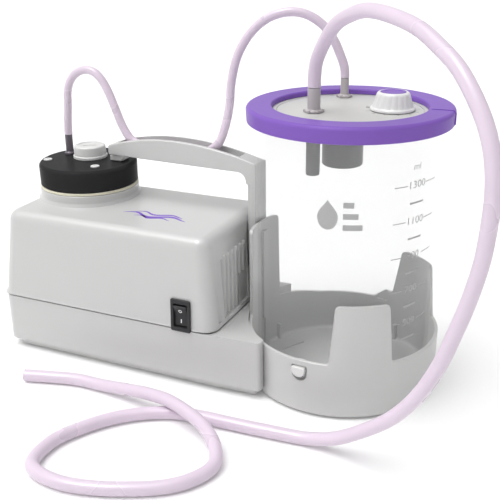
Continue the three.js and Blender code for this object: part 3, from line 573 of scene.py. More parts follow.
def lower_housing():
    shell = prism("lower_housing", tray_outline(0), TRAY_BOTTOM, TRAY_TOP)
    ledge = block(
        "ledge", (TRAY_LOW.x - BEYOND, TRAY_LOW.y - BEYOND, TRAY_TOP - SEAM),
        (COVER_RIGHT + SEAM, HOUSING_BACK + BEYOND, TRAY_TOP + BEYOND),
    )
    join(shell, prism("plinth", tray_outline(4), TRAY_BOTTOM - 5, TRAY_BOTTOM + 1))
    left, right = TRAY_LOW.x + WALL, TRAY_RIGHT - 1
    front, back = TRAY_LOW.y + WALL, HOUSING_BACK - WALL
    inside = rounded([(left, front, 5), (right, front), (right, back), (left, back, 5)])
    cup_wall = drum("wall", JAR, CUP_CLEARANCE + 2.9, 0, 60, 96)
    bowl = cut(prism("bowl", inside, TRAY_BOTTOM + WALL, 50), cup_wall)
    sockets = [
        drum("socket", place, radius, low, high, 24)
        for place in COVER_SCREWS
        for radius, low, high in ((3.4, 0, 6.4), (SCREW_HOLE, 6, 60))
    ]
    inlet = middle("power_inlet")
    opening = block("opening", (inlet.x - 10.2, 26, 18.8), (inlet.x + 10.2, 50, 29.2))
    posts = [drum("post", place, 4, 4, TRAY_TOP - 3, 24) for place in COVER_SCREWS]
    cut(shell, bowl, ledge)
    join(shell, *posts)
    cut(shell, drum("cup_room", JAR, CUP_CLEARANCE, 0, 60, 128), opening, *sockets)
    return smooth(soften(shell, 0.5, segments=3))


dress(lower_housing(), HOUSING, "root", "housing", "base_tray")


# ---------- upper housing ----------
COVER_BOTTOM = 41.1
COVER_TOP = 103.6
COVER_FRONT = -59.7
COVER_CORNER = 9
COVER_EDGE = 6.5
LIP_REACH = 1.5
DRAFT = {"left": 9, "right": 4, "front": 2.2, "back": 4.5}
LIP_DRAFT = {"left": 4, "right": 0, "front": 3, "back": 3}
BOSS_TOP = 111.1
VENT_PITCH = 5.85
VENT_FIRST = -36.1
VENT_LONG, VENT_SHORT = 4, 2
VENT_TOP, VENT_STEP, VENT_BOTTOM = 85.5, 66, 44.5
VENT_FACE = 15.9  # the louvres stand in an upright recess in the leaning wall
FIN_ROOT, FIN_BACK, FIN_FRONT = 9.2, 0.9, 3.3  # how deep a fin starts, and its reach to each side
FLUTE_FRONT, FLUTE_BACK, FLUTE_TOP = -50, -44.5, 73
OUTSIDE = 30  # beyond every right wall of the housing
SWITCH_X, SWITCH_Z, SWITCH_LEAN = -4.65, 51, 0.035


def wall_face(z):
    """Where the cover's front wall is at a height."""
    return COVER_FRONT + DRAFT["front"] * (z - COVER_BOTTOM) / (COVER_TOP - COVER_BOTTOM)


def on_front(piece):
    """Leans a piece drawn at the origin, facing -Y, onto the cover's front wall."""
    return turned(piece, (SWITCH_X, wall_face(SWITCH_Z), SWITCH_Z), -SWITCH_LEAN, "X")


def plate(name, width, height, y0, y1, corner=0.0):
    """An upright rectangle at the origin, between two depths."""
    w, h = width / 2, height / 2
    outline = rounded([(-w, -h, corner), (w, -h, corner), (w, h, corner), (-w, h, corner)])
    return prism(name, outline, y0, y1, "Y")


def vent_fin(y, bottom):
    """One louvre: a narrow outer face, a side that slopes in towards its neighbour, and a rounded top."""
    back, front = y + FIN_BACK, y - FIN_FRONT
    levels = [(bottom - VENT_TOP, 0), (-1.4, 0), (-0.6, 0.6), (0.9, 0.6), (1.6, 0.1), (1.9, -1)]
    rings = []
    for rise, out in levels:
        face = VENT_FACE + 0.2 + out
        outline = [
            (FIN_ROOT, back), (FIN_ROOT, front), (face - 4.4, front), (face - 0.4, y - 1.2),
            (face, y - 0.8), (face, back),
        ]
        rings.append([(*corner, VENT_TOP + rise) for corner in outline])
    return soften(skin("fin", rings), 0.2)


def vent_flute():
    """The slanted hollow in front of the louvres, which narrows to nothing at its top."""
    levels = [(VENT_BOTTOM, 14.2, 18, FLUTE_BACK), (FLUTE_TOP, 15.8, 16, FLUTE_FRONT + 0.3)]
    return skin("flute", [
        [(OUTSIDE, FLUTE_FRONT, z), (deep, FLUTE_FRONT, z), (shallow, back, z), (OUTSIDE, back, z)]
        for z, deep, shallow, back in levels
    ])


def upper_housing():
    left = TRAY_LOW.x
    shell = drafted_box(
        "upper_housing", (left, COVER_RIGHT), (COVER_FRONT, HOUSING_BACK),
        (COVER_BOTTOM + SEAM, COVER_TOP), COVER_CORNER, COVER_EDGE, DRAFT, 13, 12,
    )
    lip = drafted_box(
        "lip", (left - LIP_REACH, COVER_RIGHT - 4), (COVER_FRONT - 0.6, HOUSING_BACK + 0.6),
        (COVER_BOTTOM + SEAM, COVER_BOTTOM + 8), COVER_CORNER, 3, LIP_DRAFT, 13, 6,
    )
    boss = lathe("boss", HEAD, [
        (0, 70), (24, 70), (35, 88, 8), (35, COVER_TOP - 0.6), (36.4, COVER_TOP - 0.1),
        (36.2, COVER_TOP + 0.2), (35, COVER_TOP + 2.2, 2), (35, BOSS_TOP, 0.8), (0, BOSS_TOP),
    ], 128)
    hollow = drafted_box(
        "hollow", (left + WALL, 9), (COVER_FRONT + WALL, HOUSING_BACK - WALL),
        (COVER_BOTTOM - 1, COVER_TOP - WALL), 8, 6, {**DRAFT, "right": 0}, 7, 5,
    )
    boss_inside = lathe("inside", HEAD, [(0, 60), (21, 68), (31.5, 88), (31.5, 101), (0, 101)], 64)
    join(shell, lip, boss)
    cut(shell, hollow, boss_inside)
    join(shell, *[drum("post", place, 3.8, COVER_BOTTOM, 99, 24) for place in COVER_SCREWS])
    holes = [drum("hole", place, SCREW_HOLE, 30, 54, 16) for place in COVER_SCREWS]
    cut(shell, drum("bore", HEAD, 28.3, 80, 130, 96), *holes)
    fin_ys = [VENT_FIRST + i * VENT_PITCH for i in range(VENT_LONG + VENT_SHORT)]
    long_end = fin_ys[VENT_LONG - 1] + 3
    window = join(
        block("window", (0, fin_ys[0] - 5, VENT_BOTTOM), (OUTSIDE, long_end, VENT_TOP)),
        block("short_window", (0, long_end - 1, VENT_STEP), (OUTSIDE, fin_ys[-1] + 4, VENT_TOP)),
    )
    recess = block("recess", (VENT_FACE, fin_ys[0] - 3.5, VENT_BOTTOM), (OUTSIDE, fin_ys[-1] + 4, VENT_TOP))
    cut(shell, window, recess, vent_flute())
    fins = [vent_fin(y, (VENT_BOTTOM if i < VENT_LONG else VENT_STEP) - 1) for i, y in enumerate(fin_ys)]
    join(shell, *fins)
    notch = block("notch", (14.3, -0.7, 36), (40, 14.3, 130))
    flange = on_front(plate("flange", 14.9, 22.8, -10, 0, 1.0))
    opening = on_front(plate("opening", 12, 18, -10, 20, 0.6))
    cut(shell, flange, opening, notch)
    return smooth(soften(shell, 0.45))


dress(upper_housing(), HOUSING, "root", "housing", "motor_cover")


# ---------- rocker switch ----------
def switch_frame():
    """The flange and body that the rocker sits in."""
    flange = soften(plate("switch_frame", 14.3, 22.2, -1.7, -0.3, 1.2), 0.5, segments=3)
    join(flange, plate("switch_body", 11.4, 17.4, -1, 12, 0.5))
    cut(flange, plate("switch_well", 9.8, 16.2, -10, 9.5, 0.6))
    return smooth(on_front(soften(flange, 0.18)))


ROCKER_TILT = math.radians(10)
ROCKER_PIVOT = 1.4
ROCKER_HALF = 7.4
ROCKER_MIDDLE, ROCKER_END = 1.3, 2.9  # how far the paddle's face stands out
LEGEND_HALF = 0.06  # half the thickness of a printed mark


def on_rocker(piece):
    return on_front(turned(piece, (0, ROCKER_PIVOT, 0), ROCKER_TILT, "X"))


def rocker():
    """The tilting paddle, drawn side on and given its width along X."""
    outline = rounded([
        (-3, -6.6, 1), (-4.6, 0), (-3, 6.6, 1), (ROCKER_END, ROCKER_HALF, 0.6), (ROCKER_MIDDLE, 0, 14),
        (ROCKER_END, -ROCKER_HALF, 0.6),
    ])
    paddle = prism("rocker", [(-out, z) for out, z in outline], -4.5, 4.5, "Y")
    move(paddle, Matrix.Rotation(math.pi / 2, 4, "Z"))
    return smooth(on_rocker(soften(paddle, 0.3)))


dress(switch_frame(), SWITCH, "root", "black_plastic", "switch_bezel")
dress(rocker(), SWITCH, "rocker", "black_plastic", "switch_rocker")


def rocker_mark(piece, height):
    """Lays a thin mark on the rocker's upper or lower face, which slope away from the middle."""
    rise = ROCKER_END - ROCKER_MIDDLE
    slope = math.copysign(math.atan2(rise, ROCKER_HALF), height)
    out = ROCKER_MIDDLE + abs(height) * rise / ROCKER_HALF + 0.02
    return on_rocker(turned(piece, (0, -out, height), slope, "X"))


def off_mark():
    section = [(0.75, -LEGEND_HALF), (1.25, -LEGEND_HALF), (1.25, LEGEND_HALF), (0.75, LEGEND_HALF)]
    ring = lathe("off_mark", (0, 0), section, 32)
    return rocker_mark(move(ring, Matrix.Rotation(math.pi / 2, 4, "X")), 3.6)


def on_mark():
    return rocker_mark(plate("on_mark", 0.7, 2.6, -LEGEND_HALF, LEGEND_HALF), -3.8)


dress(off_mark(), LEGEND, "rocker", "black_plastic")
dress(on_mark(), LEGEND, "rocker", "black_plastic")


# ---------- pump head ----------
CAP_TOP = HEAD_HIGH.z
GASKET_BORE = 28.8
SLOT_TURN = 0.5  # how the slots in the screws and the filter cap happen to stand
GRIPS, GRIP_RING = 24, 12  # notches round the filter cap, and the circle they stand on


def head_gasket():
    low, high = span("head_gasket")
    radius = (high.x - low.x) / 2
    return smooth(lathe("head_gasket", HEAD, [
        (GASKET_BORE, low.z), (radius - 0.2, low.z), (radius, low.z + 0.5, 0.2),
        (radius - 0.35, low.z + 0.75), (radius, low.z + 1, 0.2), (radius, high.z, 0.3), (GASKET_BORE, high.z),
    ], 128))


def pump_cap():
    bottom = HEAD_LOW.z
    radius = (HEAD_HIGH.x - HEAD_LOW.x) / 2
    body = lathe("pump_cap", HEAD, [
        (0, 120), (28.2, 120), (28.2, bottom), (radius - 0.2, bottom, 0.4), (radius, CAP_TOP, 2.6),
        (0, CAP_TOP),
    ], 160, 8)
    screws = [middle(f"cap_screw_{i}") for i in (1, 2, 3)]
    wells = [drum("well", place, 3.4, CAP_TOP - 1.2, 140, 40) for place in screws]
    bores = [drum("bore", place, SCREW_HOLE, CAP_TOP - 6.5, 140, 16) for place in screws]
    cut(
        body, *wells, *bores,
        drum("nipple_hole", middle("pump_nipple"), 2.2, 110, 140, 24),
        drum("filter_hole", middle("exhaust_filter_cap"), 7.4, 110, 140, 32),
        drum("handle_screw_hole", middle("handle_screw"), SCREW_HOLE, 110, 140, 16),
    )
    return smooth(soften(body, 0.25, 50))


def screw_cap(i):
    """A white button-headed screw with a crossed recess."""
    place = middle(f"cap_screw_{i}")
    head = lathe(f"head_screw_{i}", place, [
        (0, CAP_TOP - 6), (1.5, CAP_TOP - 6), (1.6, CAP_TOP - 0.9), (3.1, CAP_TOP - 0.9),
        (3.1, CAP_TOP + 0.6, 0.35), (0, CAP_TOP + 0.75),
    ], 40)
    arms = [
        turned(block("arm", (-1.5, -0.3, -1), (1.5, 0.3, 2)), (place.x, place.y, CAP_TOP + 1.3), turn)
        for turn in (SLOT_TURN, SLOT_TURN + math.pi / 2)
    ]
    return smooth(soften(cut(head, *arms), 0.08))


def pump_nipple():
    low, high = span("pump_nipple")
    return smooth(lathe("pump_spigot", middle("pump_nipple"), [
        (1.2, low.z), (1.9, low.z), (1.9, CAP_TOP + 0.3), (3.9, CAP_TOP + 0.3), (3.9, CAP_TOP + 1.5, 0.5),
        (2.7, CAP_TOP + 2.3, 0.5), (2.7, high.z, 0.3), (1.7, high.z), (1.75, high.z + 1.5),
        (1.45, high.z + 3.4), (1.7, high.z + 3.4), (1.4, high.z + 5.5), (1.2, high.z + 5.5),
    ], 48))


def filter_cap():
    low, high = span("exhaust_filter_cap")
    place = middle("exhaust_filter_cap")
    body = lathe("filter_cap", place, [
        (0, low.z), (12.2, low.z), (12.2, low.z + 1.6, 0.5), (11.5, low.z + 2.1, 0.3), (11.1, high.z, 1.1),
        (8.6, high.z, 0.3), (8.3, high.z - 0.5, 0.3), (0, high.z - 0.5),
    ], 96)
    coin_slot = block("coin_slot", (-5, -0.7, -0.6), (5, 0.7, 2))
    turned(coin_slot, (place.x, place.y, high.z - 0.6), SLOT_TURN)
    grips = []
    for k in range(GRIPS):
        angle = TAU * k / GRIPS
        centre = (place.x + GRIP_RING * math.cos(angle), place.y + GRIP_RING * math.sin(angle))
        grips.append(drum("grip", centre, 0.62, low.z + 3.2, high.z - 1.6, 12))
    return smooth(soften(cut(body, coin_slot, merge("grips", grips)), 0.15))


dress(head_gasket(), GASKET, "root", "gasket", "head_gasket")
dress(pump_cap(), BLACK, "root", "black_plastic", "pump_head_cap")
for i in (1, 2, 3):
    dress(screw_cap(i), WHITE, "root", "white_plastic", f"cap_screw_{i}")
dress(pump_nipple(), NIPPLE_DARK, "root", "nipple_dark", "pump_nipple")
dress(filter_cap(), WHITE, "filter_cap", "white_plastic", "exhaust_filter_cap")


# ---------- jar cup and its latch ----------
CUP_RADIUS, CUP_INNER = 62.3, 60.1
CUP_RIM, CUP_FLOOR, CUP_BOTTOM = 37.8, 2.7, 1.5
TABS = [(176.5, 98, 19.5, 18), (-61, 76.5, 18, 15), (51.5, 71, 20, 14)]  # angle, top, half widths in degrees
DIP_ANGLE, DIP_BOTTOM = 112, 31  # the rim is lower at the back
LATCH_ANGLE, LATCH_Z = -96.5, 28.8
LATCH_RADIUS, LATCH_FACE = 4.7, 64.3
STEM_RADIUS = 1.8


def round_jar(piece, degrees):
    """Turns a piece drawn out along +Y so that it points away from the jar's axis at an angle."""
    turn = Matrix.Rotation(math.radians(degrees - 90), 4, "Z")
    return move(piece, Matrix.Translation((JAR.x, 0, 0)) @ turn)


def cup_tab(angle, top, base, tip):
    """One of the rounded tabs that stand up from the rim, cut out of a ring."""
    wide = CUP_RADIUS * math.sin(math.radians(base))
    narrow = CUP_RADIUS * math.sin(math.radians(tip))
    shoulder = CUP_RIM - 0.7
    face = rounded([
        (-wide - 6, 20), (wide + 6, 20), (wide + 6, shoulder), (wide, shoulder, 3), (narrow, top, 3.2),
        (-narrow, top, 3.2), (-wide, shoulder, 3), (-wide - 6, shoulder),
    ], steps=8)
    slab = round_jar(prism("tab", face, 40, 75, "Y"), angle)
    wall = lathe("wall", JAR, [
        (CUP_INNER + 0.02, 15), (CUP_RADIUS - 0.02, 15), (CUP_RADIUS - 0.02, 120), (CUP_INNER + 0.02, 120),
    ], 192)
    return soften(overlap(slab, wall), 0.7, segments=3)


def jar_cup():
    cup = lathe("cup", JAR, [
        (0, CUP_BOTTOM), (CUP_RADIUS - 0.6, CUP_BOTTOM, 1.6), (CUP_RADIUS, CUP_RIM, 0.8),
        (CUP_INNER, CUP_RIM, 0.8), (CUP_INNER, CUP_FLOOR, 2.4), (0, CUP_FLOOR),
    ], 192, 6)
    ribs = [
        round_jar(block("rib", (-1, JAR_RADIUS + 0.7, 2.2), (1, CUP_INNER + 1, 14.2)), 22.5 + 45 * i)
        for i in range(8)
    ]
    tab_angle, tab_top = TABS[0][:2]
    tab_ribs = [
        round_jar(block("tab_rib", (left, CUP_INNER - 1.6, low), (2.4, CUP_INNER + 1, high)), tab_angle - 3)
        for left, low, high in ((-2.6, 26, tab_top - 7), (-0.4, 3, 60))
    ]
    pad = round_jar(latch_drum("pad", 7.5, 57.3, 61.5, 40), LATCH_ANGLE)
    dip = rounded([
        (-43, CUP_RIM - 0.8), (-12, DIP_BOTTOM + 0.8, 20), (27, DIP_BOTTOM, 6), (35, CUP_RIM + 0.2, 2),
        (35, CUP_RIM + BEYOND), (-43, CUP_RIM + BEYOND),
    ])
    join(cup, *[cup_tab(*tab) for tab in TABS])
    cut(cup, round_jar(prism("dip", dip, 40, 75, "Y"), DIP_ANGLE))
    join(cup, *[soften(rib, 0.5) for rib in ribs], *tab_ribs, pad)
    recess = prism("recess", latch_outline(LATCH_RADIUS + 0.5, LATCH_RADIUS + 0.5), 59, 70, "Y")
    stem_hole = latch_drum("stem_hole", STEM_RADIUS + 0.4, 50, 70, 24)
    floor_slot = turned(block("slot", (-10, -1, 0), (10, 1, 10)), (43.5, 15, 0), math.radians(60))
    rim_notch = round_jar(block("notch", (-4, 55, 29.8), (4, 61.2, 45)), 80)
    cut(cup, round_jar(recess, LATCH_ANGLE), round_jar(stem_hole, LATCH_ANGLE), floor_slot, rim_notch)
    return smooth(cup, 38)


def latch_drum(name, radius, near, far, segments):
    """A cylinder that lies along +Y at the latch's height."""
    return turned(drum(name, (0, 0), radius, near, far, segments), (0, 0, LATCH_Z), -math.pi / 2, "X")


def latch_outline(top, half, drop=0.0):
    """Flat on top and round below; the drop raises the bottom."""
    low, high = LATCH_Z - half + drop, LATCH_Z + top
    below = half * 0.98  # just short of a half circle, so that the two arcs don't meet
    return rounded([(-half, high, 0.9), (-half, low, below), (half, low, below), (half, high, 0.9)], steps=10)


def latch_button():
    """The thumb button stands out as a ledge over the lower half of its recess."""
    outline = latch_outline(LATCH_RADIUS - 0.1, LATCH_RADIUS - 0.2, 2.6)
    button = soften(prism("jar_latch", outline, 61.2, LATCH_FACE, "Y"), 0.55, segments=3)
    join(button, latch_drum("stem", STEM_RADIUS, 58.7, 61.6, 24))
    return smooth(round_jar(button, LATCH_ANGLE))


dress(jar_cup(), HOUSING, "root", "housing", "jar_cup")
dress(latch_button(), WHITE, "latch", "white_plastic", "latch_button")


# ---------- carry handle ----------
HANDLE_FRONT, HANDLE_BACK = -0.4, 14
HANDLE_LEFT = span("carry_handle")[0].x
HANDLE_CREST = (-50.7, 147.8)
POST_LEFT, POST_RIGHT = 14.6, 24.5
GROOVE_WALL = 2.4
CUP_FACE = 62.9


def bend(start, control, end, steps=14):
    """Points along a quadratic curve, without its start."""
    start, control, end = Vector(start), Vector(control), Vector(end)
    shares = [k / steps for k in range(1, steps + 1)]
    return [start.lerp(control, share).lerp(control.lerp(end, share), share) for share in shares]


def carry_handle():
    corner = (POST_RIGHT, 137.6)
    arch = [Vector((HANDLE_LEFT, 133.6)), Vector((POST_LEFT - 7, 131.7))]
    arch += bend(arch[-1], (POST_LEFT, 131.7), (POST_LEFT, 124))
    arch += [Vector((POST_RIGHT, 124)), Vector(corner)]
    arch += bend(corner, (-14, 149.4), HANDLE_CREST)
    arch += bend(HANDLE_CREST, (-72, 146.6), (HANDLE_LEFT + 1, 140.5))
    arch += bend((HANDLE_LEFT + 1, 140.5), (HANDLE_LEFT, 140), (HANDLE_LEFT, 139), 4)
    handle = soften(prism("handle", arch, HANDLE_FRONT, HANDLE_BACK, "Y"), 0.9, 28, 3)
    post_outline = rounded([
        (POST_LEFT, HANDLE_FRONT, 4.6), (POST_RIGHT + 6, HANDLE_FRONT, 1), (POST_RIGHT + 6, HANDLE_BACK, 1),
        (POST_LEFT, HANDLE_BACK, 4.6),
    ], steps=8)
    post = prism("post", post_outline, COVER_BOTTOM, 130)
    trim_face = [(POST_LEFT - 1, 30), (POST_RIGHT, 30), (POST_RIGHT, 140), (POST_LEFT - 1, 140)]
    trim = prism("trim", trim_face, -9, 30, "Y")
    flare_face = rounded([(18.4, COVER_BOTTOM), (30, COVER_BOTTOM), (30, 98, 4), (18.4, 92, 3)], steps=6)
    flare = soften(prism("flare", flare_face, -4, 21, "Y"), 1.2, 32, 3)
    groove_face = rounded([(-84, 160), (-84, 137.2, 4), (8, 137.2, 4), (14, 160)], steps=8)
    groove = prism("groove", groove_face, HANDLE_FRONT + GROOVE_WALL, HANDLE_BACK - GROOVE_WALL, "Y")
    join(handle, overlap(post, trim), flare)
    cut(
        handle, groove, drum("jar_room", JAR, CUP_FACE, 30, 160, 192),
        drum("screw_hole", middle("handle_screw"), SCREW_HOLE, 120, 137.6, 16),
        *[drum("hole", middle(f"post_screw_{i}"), 1.8, 30, 52, 16) for i in (1, 2)],
    )
    return smooth(soften(handle, 0.35, 50), 38)


def pedestal():
    low, high = span("handle_pedestal")
    body = soften(block("handle_foot", low, high), 0.8, segments=3)
    return smooth(cut(body, drum("hole", middle("handle_screw"), SCREW_HOLE, 120, 140, 16)))


dress(carry_handle(), HOUSING, "root", "housing", "carry_handle")
dress(pedestal(), WHITE, "root", "white_plastic", "handle_pedestal")


# ---------- jar and its scale ----------
JAR_LOW, JAR_HIGH = span("jar")
JAR_BORE = 54.1


def jar():
    rim = (JAR_HIGH - JAR).x
    return smooth(lathe("clear_jar", JAR, [
        (0, JAR_LOW.z + 1), (30, JAR_LOW.z, 4), (JAR_RADIUS, JAR_LOW.z, 4), (JAR_RADIUS, 168, 2),
        (rim, 170.2, 1), (rim, JAR_HIGH.z, 0.6), (JAR_BORE, JAR_HIGH.z, 0.6),
        (JAR_BORE, JAR_LOW.z + 1.8, 3.5), (0, JAR_LOW.z + 2.4),
    ], 192, 6))


MARK_LIFT = 0.05
MARK_THICKNESS = 0.05
TEXT_STRETCH = 1.15
CAPITAL = 1.37  # a font's size over the height of its capitals


def on_jar(degrees, z, lift):
    """A point on the jar at an angle and a height, lifted off its wall."""
    angle = math.radians(degrees)
    radius = JAR_RADIUS + lift
    return (JAR.x + radius * math.cos(angle), JAR.y + radius * math.sin(angle), z)


def wrapped(rows, columns=8):
    """A thin curved patch on the jar through rows of (height, first angle, last angle)."""
    rings = []
    for z, first, last in rows:
        angles = [first + (last - first) * k / columns for k in range(columns + 1)]
        inner = [on_jar(angle, z, MARK_LIFT) for angle in angles]
        outer = [on_jar(angle, z, MARK_LIFT + MARK_THICKNESS) for angle in angles]
        rings.append(inner + outer[::-1])
    return skin("patch", rings)


def bar(first, last, z, height):
    return wrapped([(z - height / 2, first, last), (z + height / 2, first, last)])


def flat_text(text, height):
    """Lettering centred on the origin, in x and y, as a thin solid in millimetres."""
    curve = bpy.data.curves.new("lettering", "FONT")
    curve.body = text
    curve.size = height * CAPITAL
    curve.align_x, curve.align_y = "CENTER", "CENTER"
    curve.extrude = 1
    curve.resolution_u = 4
    holder = add_object("lettering", curve)
    bpy.context.view_layer.update()
    mesh = bpy.data.meshes.new_from_object(holder.evaluated_get(bpy.context.evaluated_depsgraph_get()))
    points = [vertex.co.copy() for vertex in mesh.vertices]
    faces = [list(polygon.vertices) for polygon in mesh.polygons]
    bpy.data.objects.remove(holder)
    bpy.data.curves.remove(curve)
    bpy.data.meshes.remove(mesh)
    return points, faces


def jar_text(text, degrees, z, height):
    points, faces = flat_text(text, height)
    to_degrees = 180 / (math.pi * JAR_RADIUS)
    wrapped_points = []
    for p in points:
        lift = MARK_LIFT + (MARK_THICKNESS if p.z > 0 else 0)
        wrapped_points.append(on_jar(degrees + p.x * TEXT_STRETCH * to_degrees, z + p.y, lift))
    return new_piece("text", wrapped_points, faces)


SCALE_TOP = 145.7
SCALE_STEP = 21.7  # height of 200 ml
SCALE_ANGLE = -27.5


def jar_scale():
    """Level marks every 100 ml, with numbers at every other one."""
    marks = [jar_text("ml", SCALE_ANGLE - 0.7, SCALE_TOP + 10.7, 4)]
    for i, amount in enumerate(range(1300, 400, -200)):
        z = SCALE_TOP - i * SCALE_STEP
        marks.append(jar_text(str(amount), SCALE_ANGLE, z, 4.6))
        marks.append(bar(SCALE_ANGLE - 16.8, SCALE_ANGLE - 7.6, z, 0.55))
        marks.append(bar(SCALE_ANGLE + 7.8, SCALE_ANGLE + 18.9, z, 0.55))
        marks.append(bar(SCALE_ANGLE - 5.3, SCALE_ANGLE + 6.1, z - SCALE_STEP / 2, 1.1))
    return merge("jar_scale", marks)


BADGE_ANGLE = -75.7
BADGE_Z = 131
DROP_ANGLE = BADGE_ANGLE - 7.5
DROP_HEIGHT = 18
DROP_WIDEST = 0.42  # share of the drop's height where it is widest
DROP_HALF = 6.1
BADGE_BARS = [(13, -7.3), (10.4, -0.6), (7.8, 6.1)]  # where each ends, in degrees, and its height


def jar_badge():
    """A plain drop beside three level bars."""
    drop_rows = []
    for k in range(25):
        rise = k / 24
        if rise < DROP_WIDEST:
            half = math.sqrt(max(0, 1 - (1 - rise / DROP_WIDEST) ** 2))
        else:
            half = max(0, math.cos((rise - DROP_WIDEST) / (1 - DROP_WIDEST) * math.pi / 2)) ** 1.25
        half = DROP_HALF * max(half, 0.01)
        z = BADGE_Z - DROP_HEIGHT / 2 + DROP_HEIGHT * rise
        drop_rows.append((z, DROP_ANGLE - half, DROP_ANGLE + half))
    bars = [bar(BADGE_ANGLE + 1.5, BADGE_ANGLE + end, BADGE_Z + rise, 3.4) for end, rise in BADGE_BARS]
    return merge("jar_badge", [wrapped(drop_rows), *bars])


dress(jar(), CLEAR, "jar", "jar_clear", "jar")
dress(jar_scale(), PRINT, "jar", "inner_grey")
dress(jar_badge(), PRINT, "jar", "inner_grey")


# first and last x of each wave, the y it runs at, how far it swings and half its thickness
WAVES = [(-55, -6, -28.6, 3.2, 1.5), (-49, -12, -24.4, 2.2, 1.0), (-44, -16, -31.8, 1.8, 0.8)]
WAVE_TURNS = 1.7


def cover_flash():
    """Three tapering waves printed on top of the housing."""
    ribbons = []
    for start, end, place, swing, weight in WAVES:
        top, bottom = [], []
        for k in range(41):
            share = k / 40
            x = start + (end - start) * share
            y = place + swing * math.sin(share * WAVE_TURNS * TAU) * (1 - 0.35 * share)
            half = weight * math.sin(math.pi * share) ** 0.7 + 0.08
            top.append((x + y * 0.3, y + half))
            bottom.append((x + y * 0.3, y - half))
        ribbons.append(prism("ribbon", top + bottom[::-1], COVER_TOP - 0.03, COVER_TOP + 0.06))
    return merge("cover_flash", ribbons)


dress(cover_flash(), SPLASH, "root", "ring_purple")


# ---------- lid ----------
LID_LOW, LID_HIGH = span("lid_disc")
LID_TOP = LID_HIGH.z
LID_BOTTOM = 176.3
RING_OPENING = 46.9
KNOB_PLACE = (KNOB_AXIS.x, KNOB_AXIS.y, 0)


def locking_ring():
    radius = (RING_HIGH.x - RING_LOW.x) / 2
    skirt = 58.7
    ring = lathe("locking_ring", JAR, [
        (RING_OPENING, LID_TOP + 0.3), (skirt, LID_TOP + 0.3), (skirt, RING_LOW.z),
        (radius - 0.5, RING_LOW.z, 0.7), (radius, RING_HIGH.z, 2.4), (RING_OPENING + 0.4, RING_HIGH.z, 1.3),
    ], 224, 7)
    out, up = radius + 0.35, RING_HIGH.z + 0.35  # how far the raised mark reaches
    mark = block("mark", (-1.1, RING_OPENING + 2, RING_LOW.z + 1.5), (1.1, out, up))
    envelope = lathe("envelope", JAR, [
        (RING_OPENING + 1, LID_TOP + 1), (radius - 3, LID_TOP + 1), (radius - 3, RING_LOW.z + 1),
        (out, RING_LOW.z + 1), (out, up, 2.6), (RING_OPENING + 1, up, 1.4),
    ], 224, 7)
    join(ring, soften(overlap(round_jar(mark, 4), envelope), 0.3))
    return smooth(ring)


def lid_disc():
    """The plate under the ring, with the float's seat below and a pointer and tick marks round the knob."""
    radius = (LID_HIGH.x - LID_LOW.x) / 2
    disc = lathe("lid", JAR, [
        (0, LID_BOTTOM), (radius, LID_BOTTOM), (radius, LID_TOP, 0.4), (0, LID_TOP),
    ], 160)
    seat = drum("seat", VACUUM_AXIS, 5.4, LID_LOW.z, LID_BOTTOM + 1, 40)  # the rim that the float closes
    inner, outer = RING_OPENING - 3, RING_OPENING - 2.4
    step = lathe("step", JAR, [
        (inner, LID_TOP - 0.5), (outer, LID_TOP - 0.5), (outer, LID_TOP + 1), (inner, LID_TOP + 1),
    ], 160)
    pointer = soften(block("pointer", (13.9, -1.2, LID_TOP - 0.5), (16.6, 1.2, LID_TOP + 1.2)), 0.3)
    join(disc, seat, turned(pointer, KNOB_PLACE, math.radians(176)))
    ticks = [
        turned(
            block("tick", (14.2, -0.35, LID_TOP - 0.3), (16.6, 0.35, LID_TOP + 1)), KNOB_PLACE,
            math.radians(turn),
        )
        for turn in range(-150, 141, 29)
    ]
    holes = [
        drum("hole", axis, bore, 170, 190, 32)
        for axis, bore in ((PATIENT_AXIS, 3.3), (VACUUM_AXIS, 2.4), (KNOB_AXIS, 3.4))
    ]
    return smooth(cut(disc, step, merge("ticks", ticks), *holes))


LUGS = 6


def lid_nipple(name, axis, radius, bore, spigot, top, hose_bore):
    """A hose nipple: a spigot through the lid, a lugged flange, the tube, and barbs up inside the hose."""
    flange = LID_TOP + 0.3
    barb = hose_bore - 0.1
    body = lathe(name, axis, [
        (bore, LID_LOW.z), (spigot, LID_LOW.z), (spigot, flange), (radius + 1.6, flange),
        (radius + 1.6, flange + 1, 0.4), (radius, flange + 1.6, 0.5), (radius, top, 0.3), (barb, top),
        (barb, top + 1.5), (barb - 0.3, top + 3.5), (barb, top + 3.5), (barb - 0.35, top + 6),
        (bore, top + 6),
    ], 48)
    lugs = []
    for k in range(LUGS):
        lug = soften(block("lug", (radius - 0.4, -0.8, flange), (radius + 2.4, 0.8, flange + 1.5)), 0.25)
        lugs.append(turned(lug, (axis.x, axis.y, 0), TAU * k / LUGS + 0.3))
    return smooth(join(body, merge("lugs", lugs)))


FLUTES = 18
FLUTE_DEPTH = 0.38


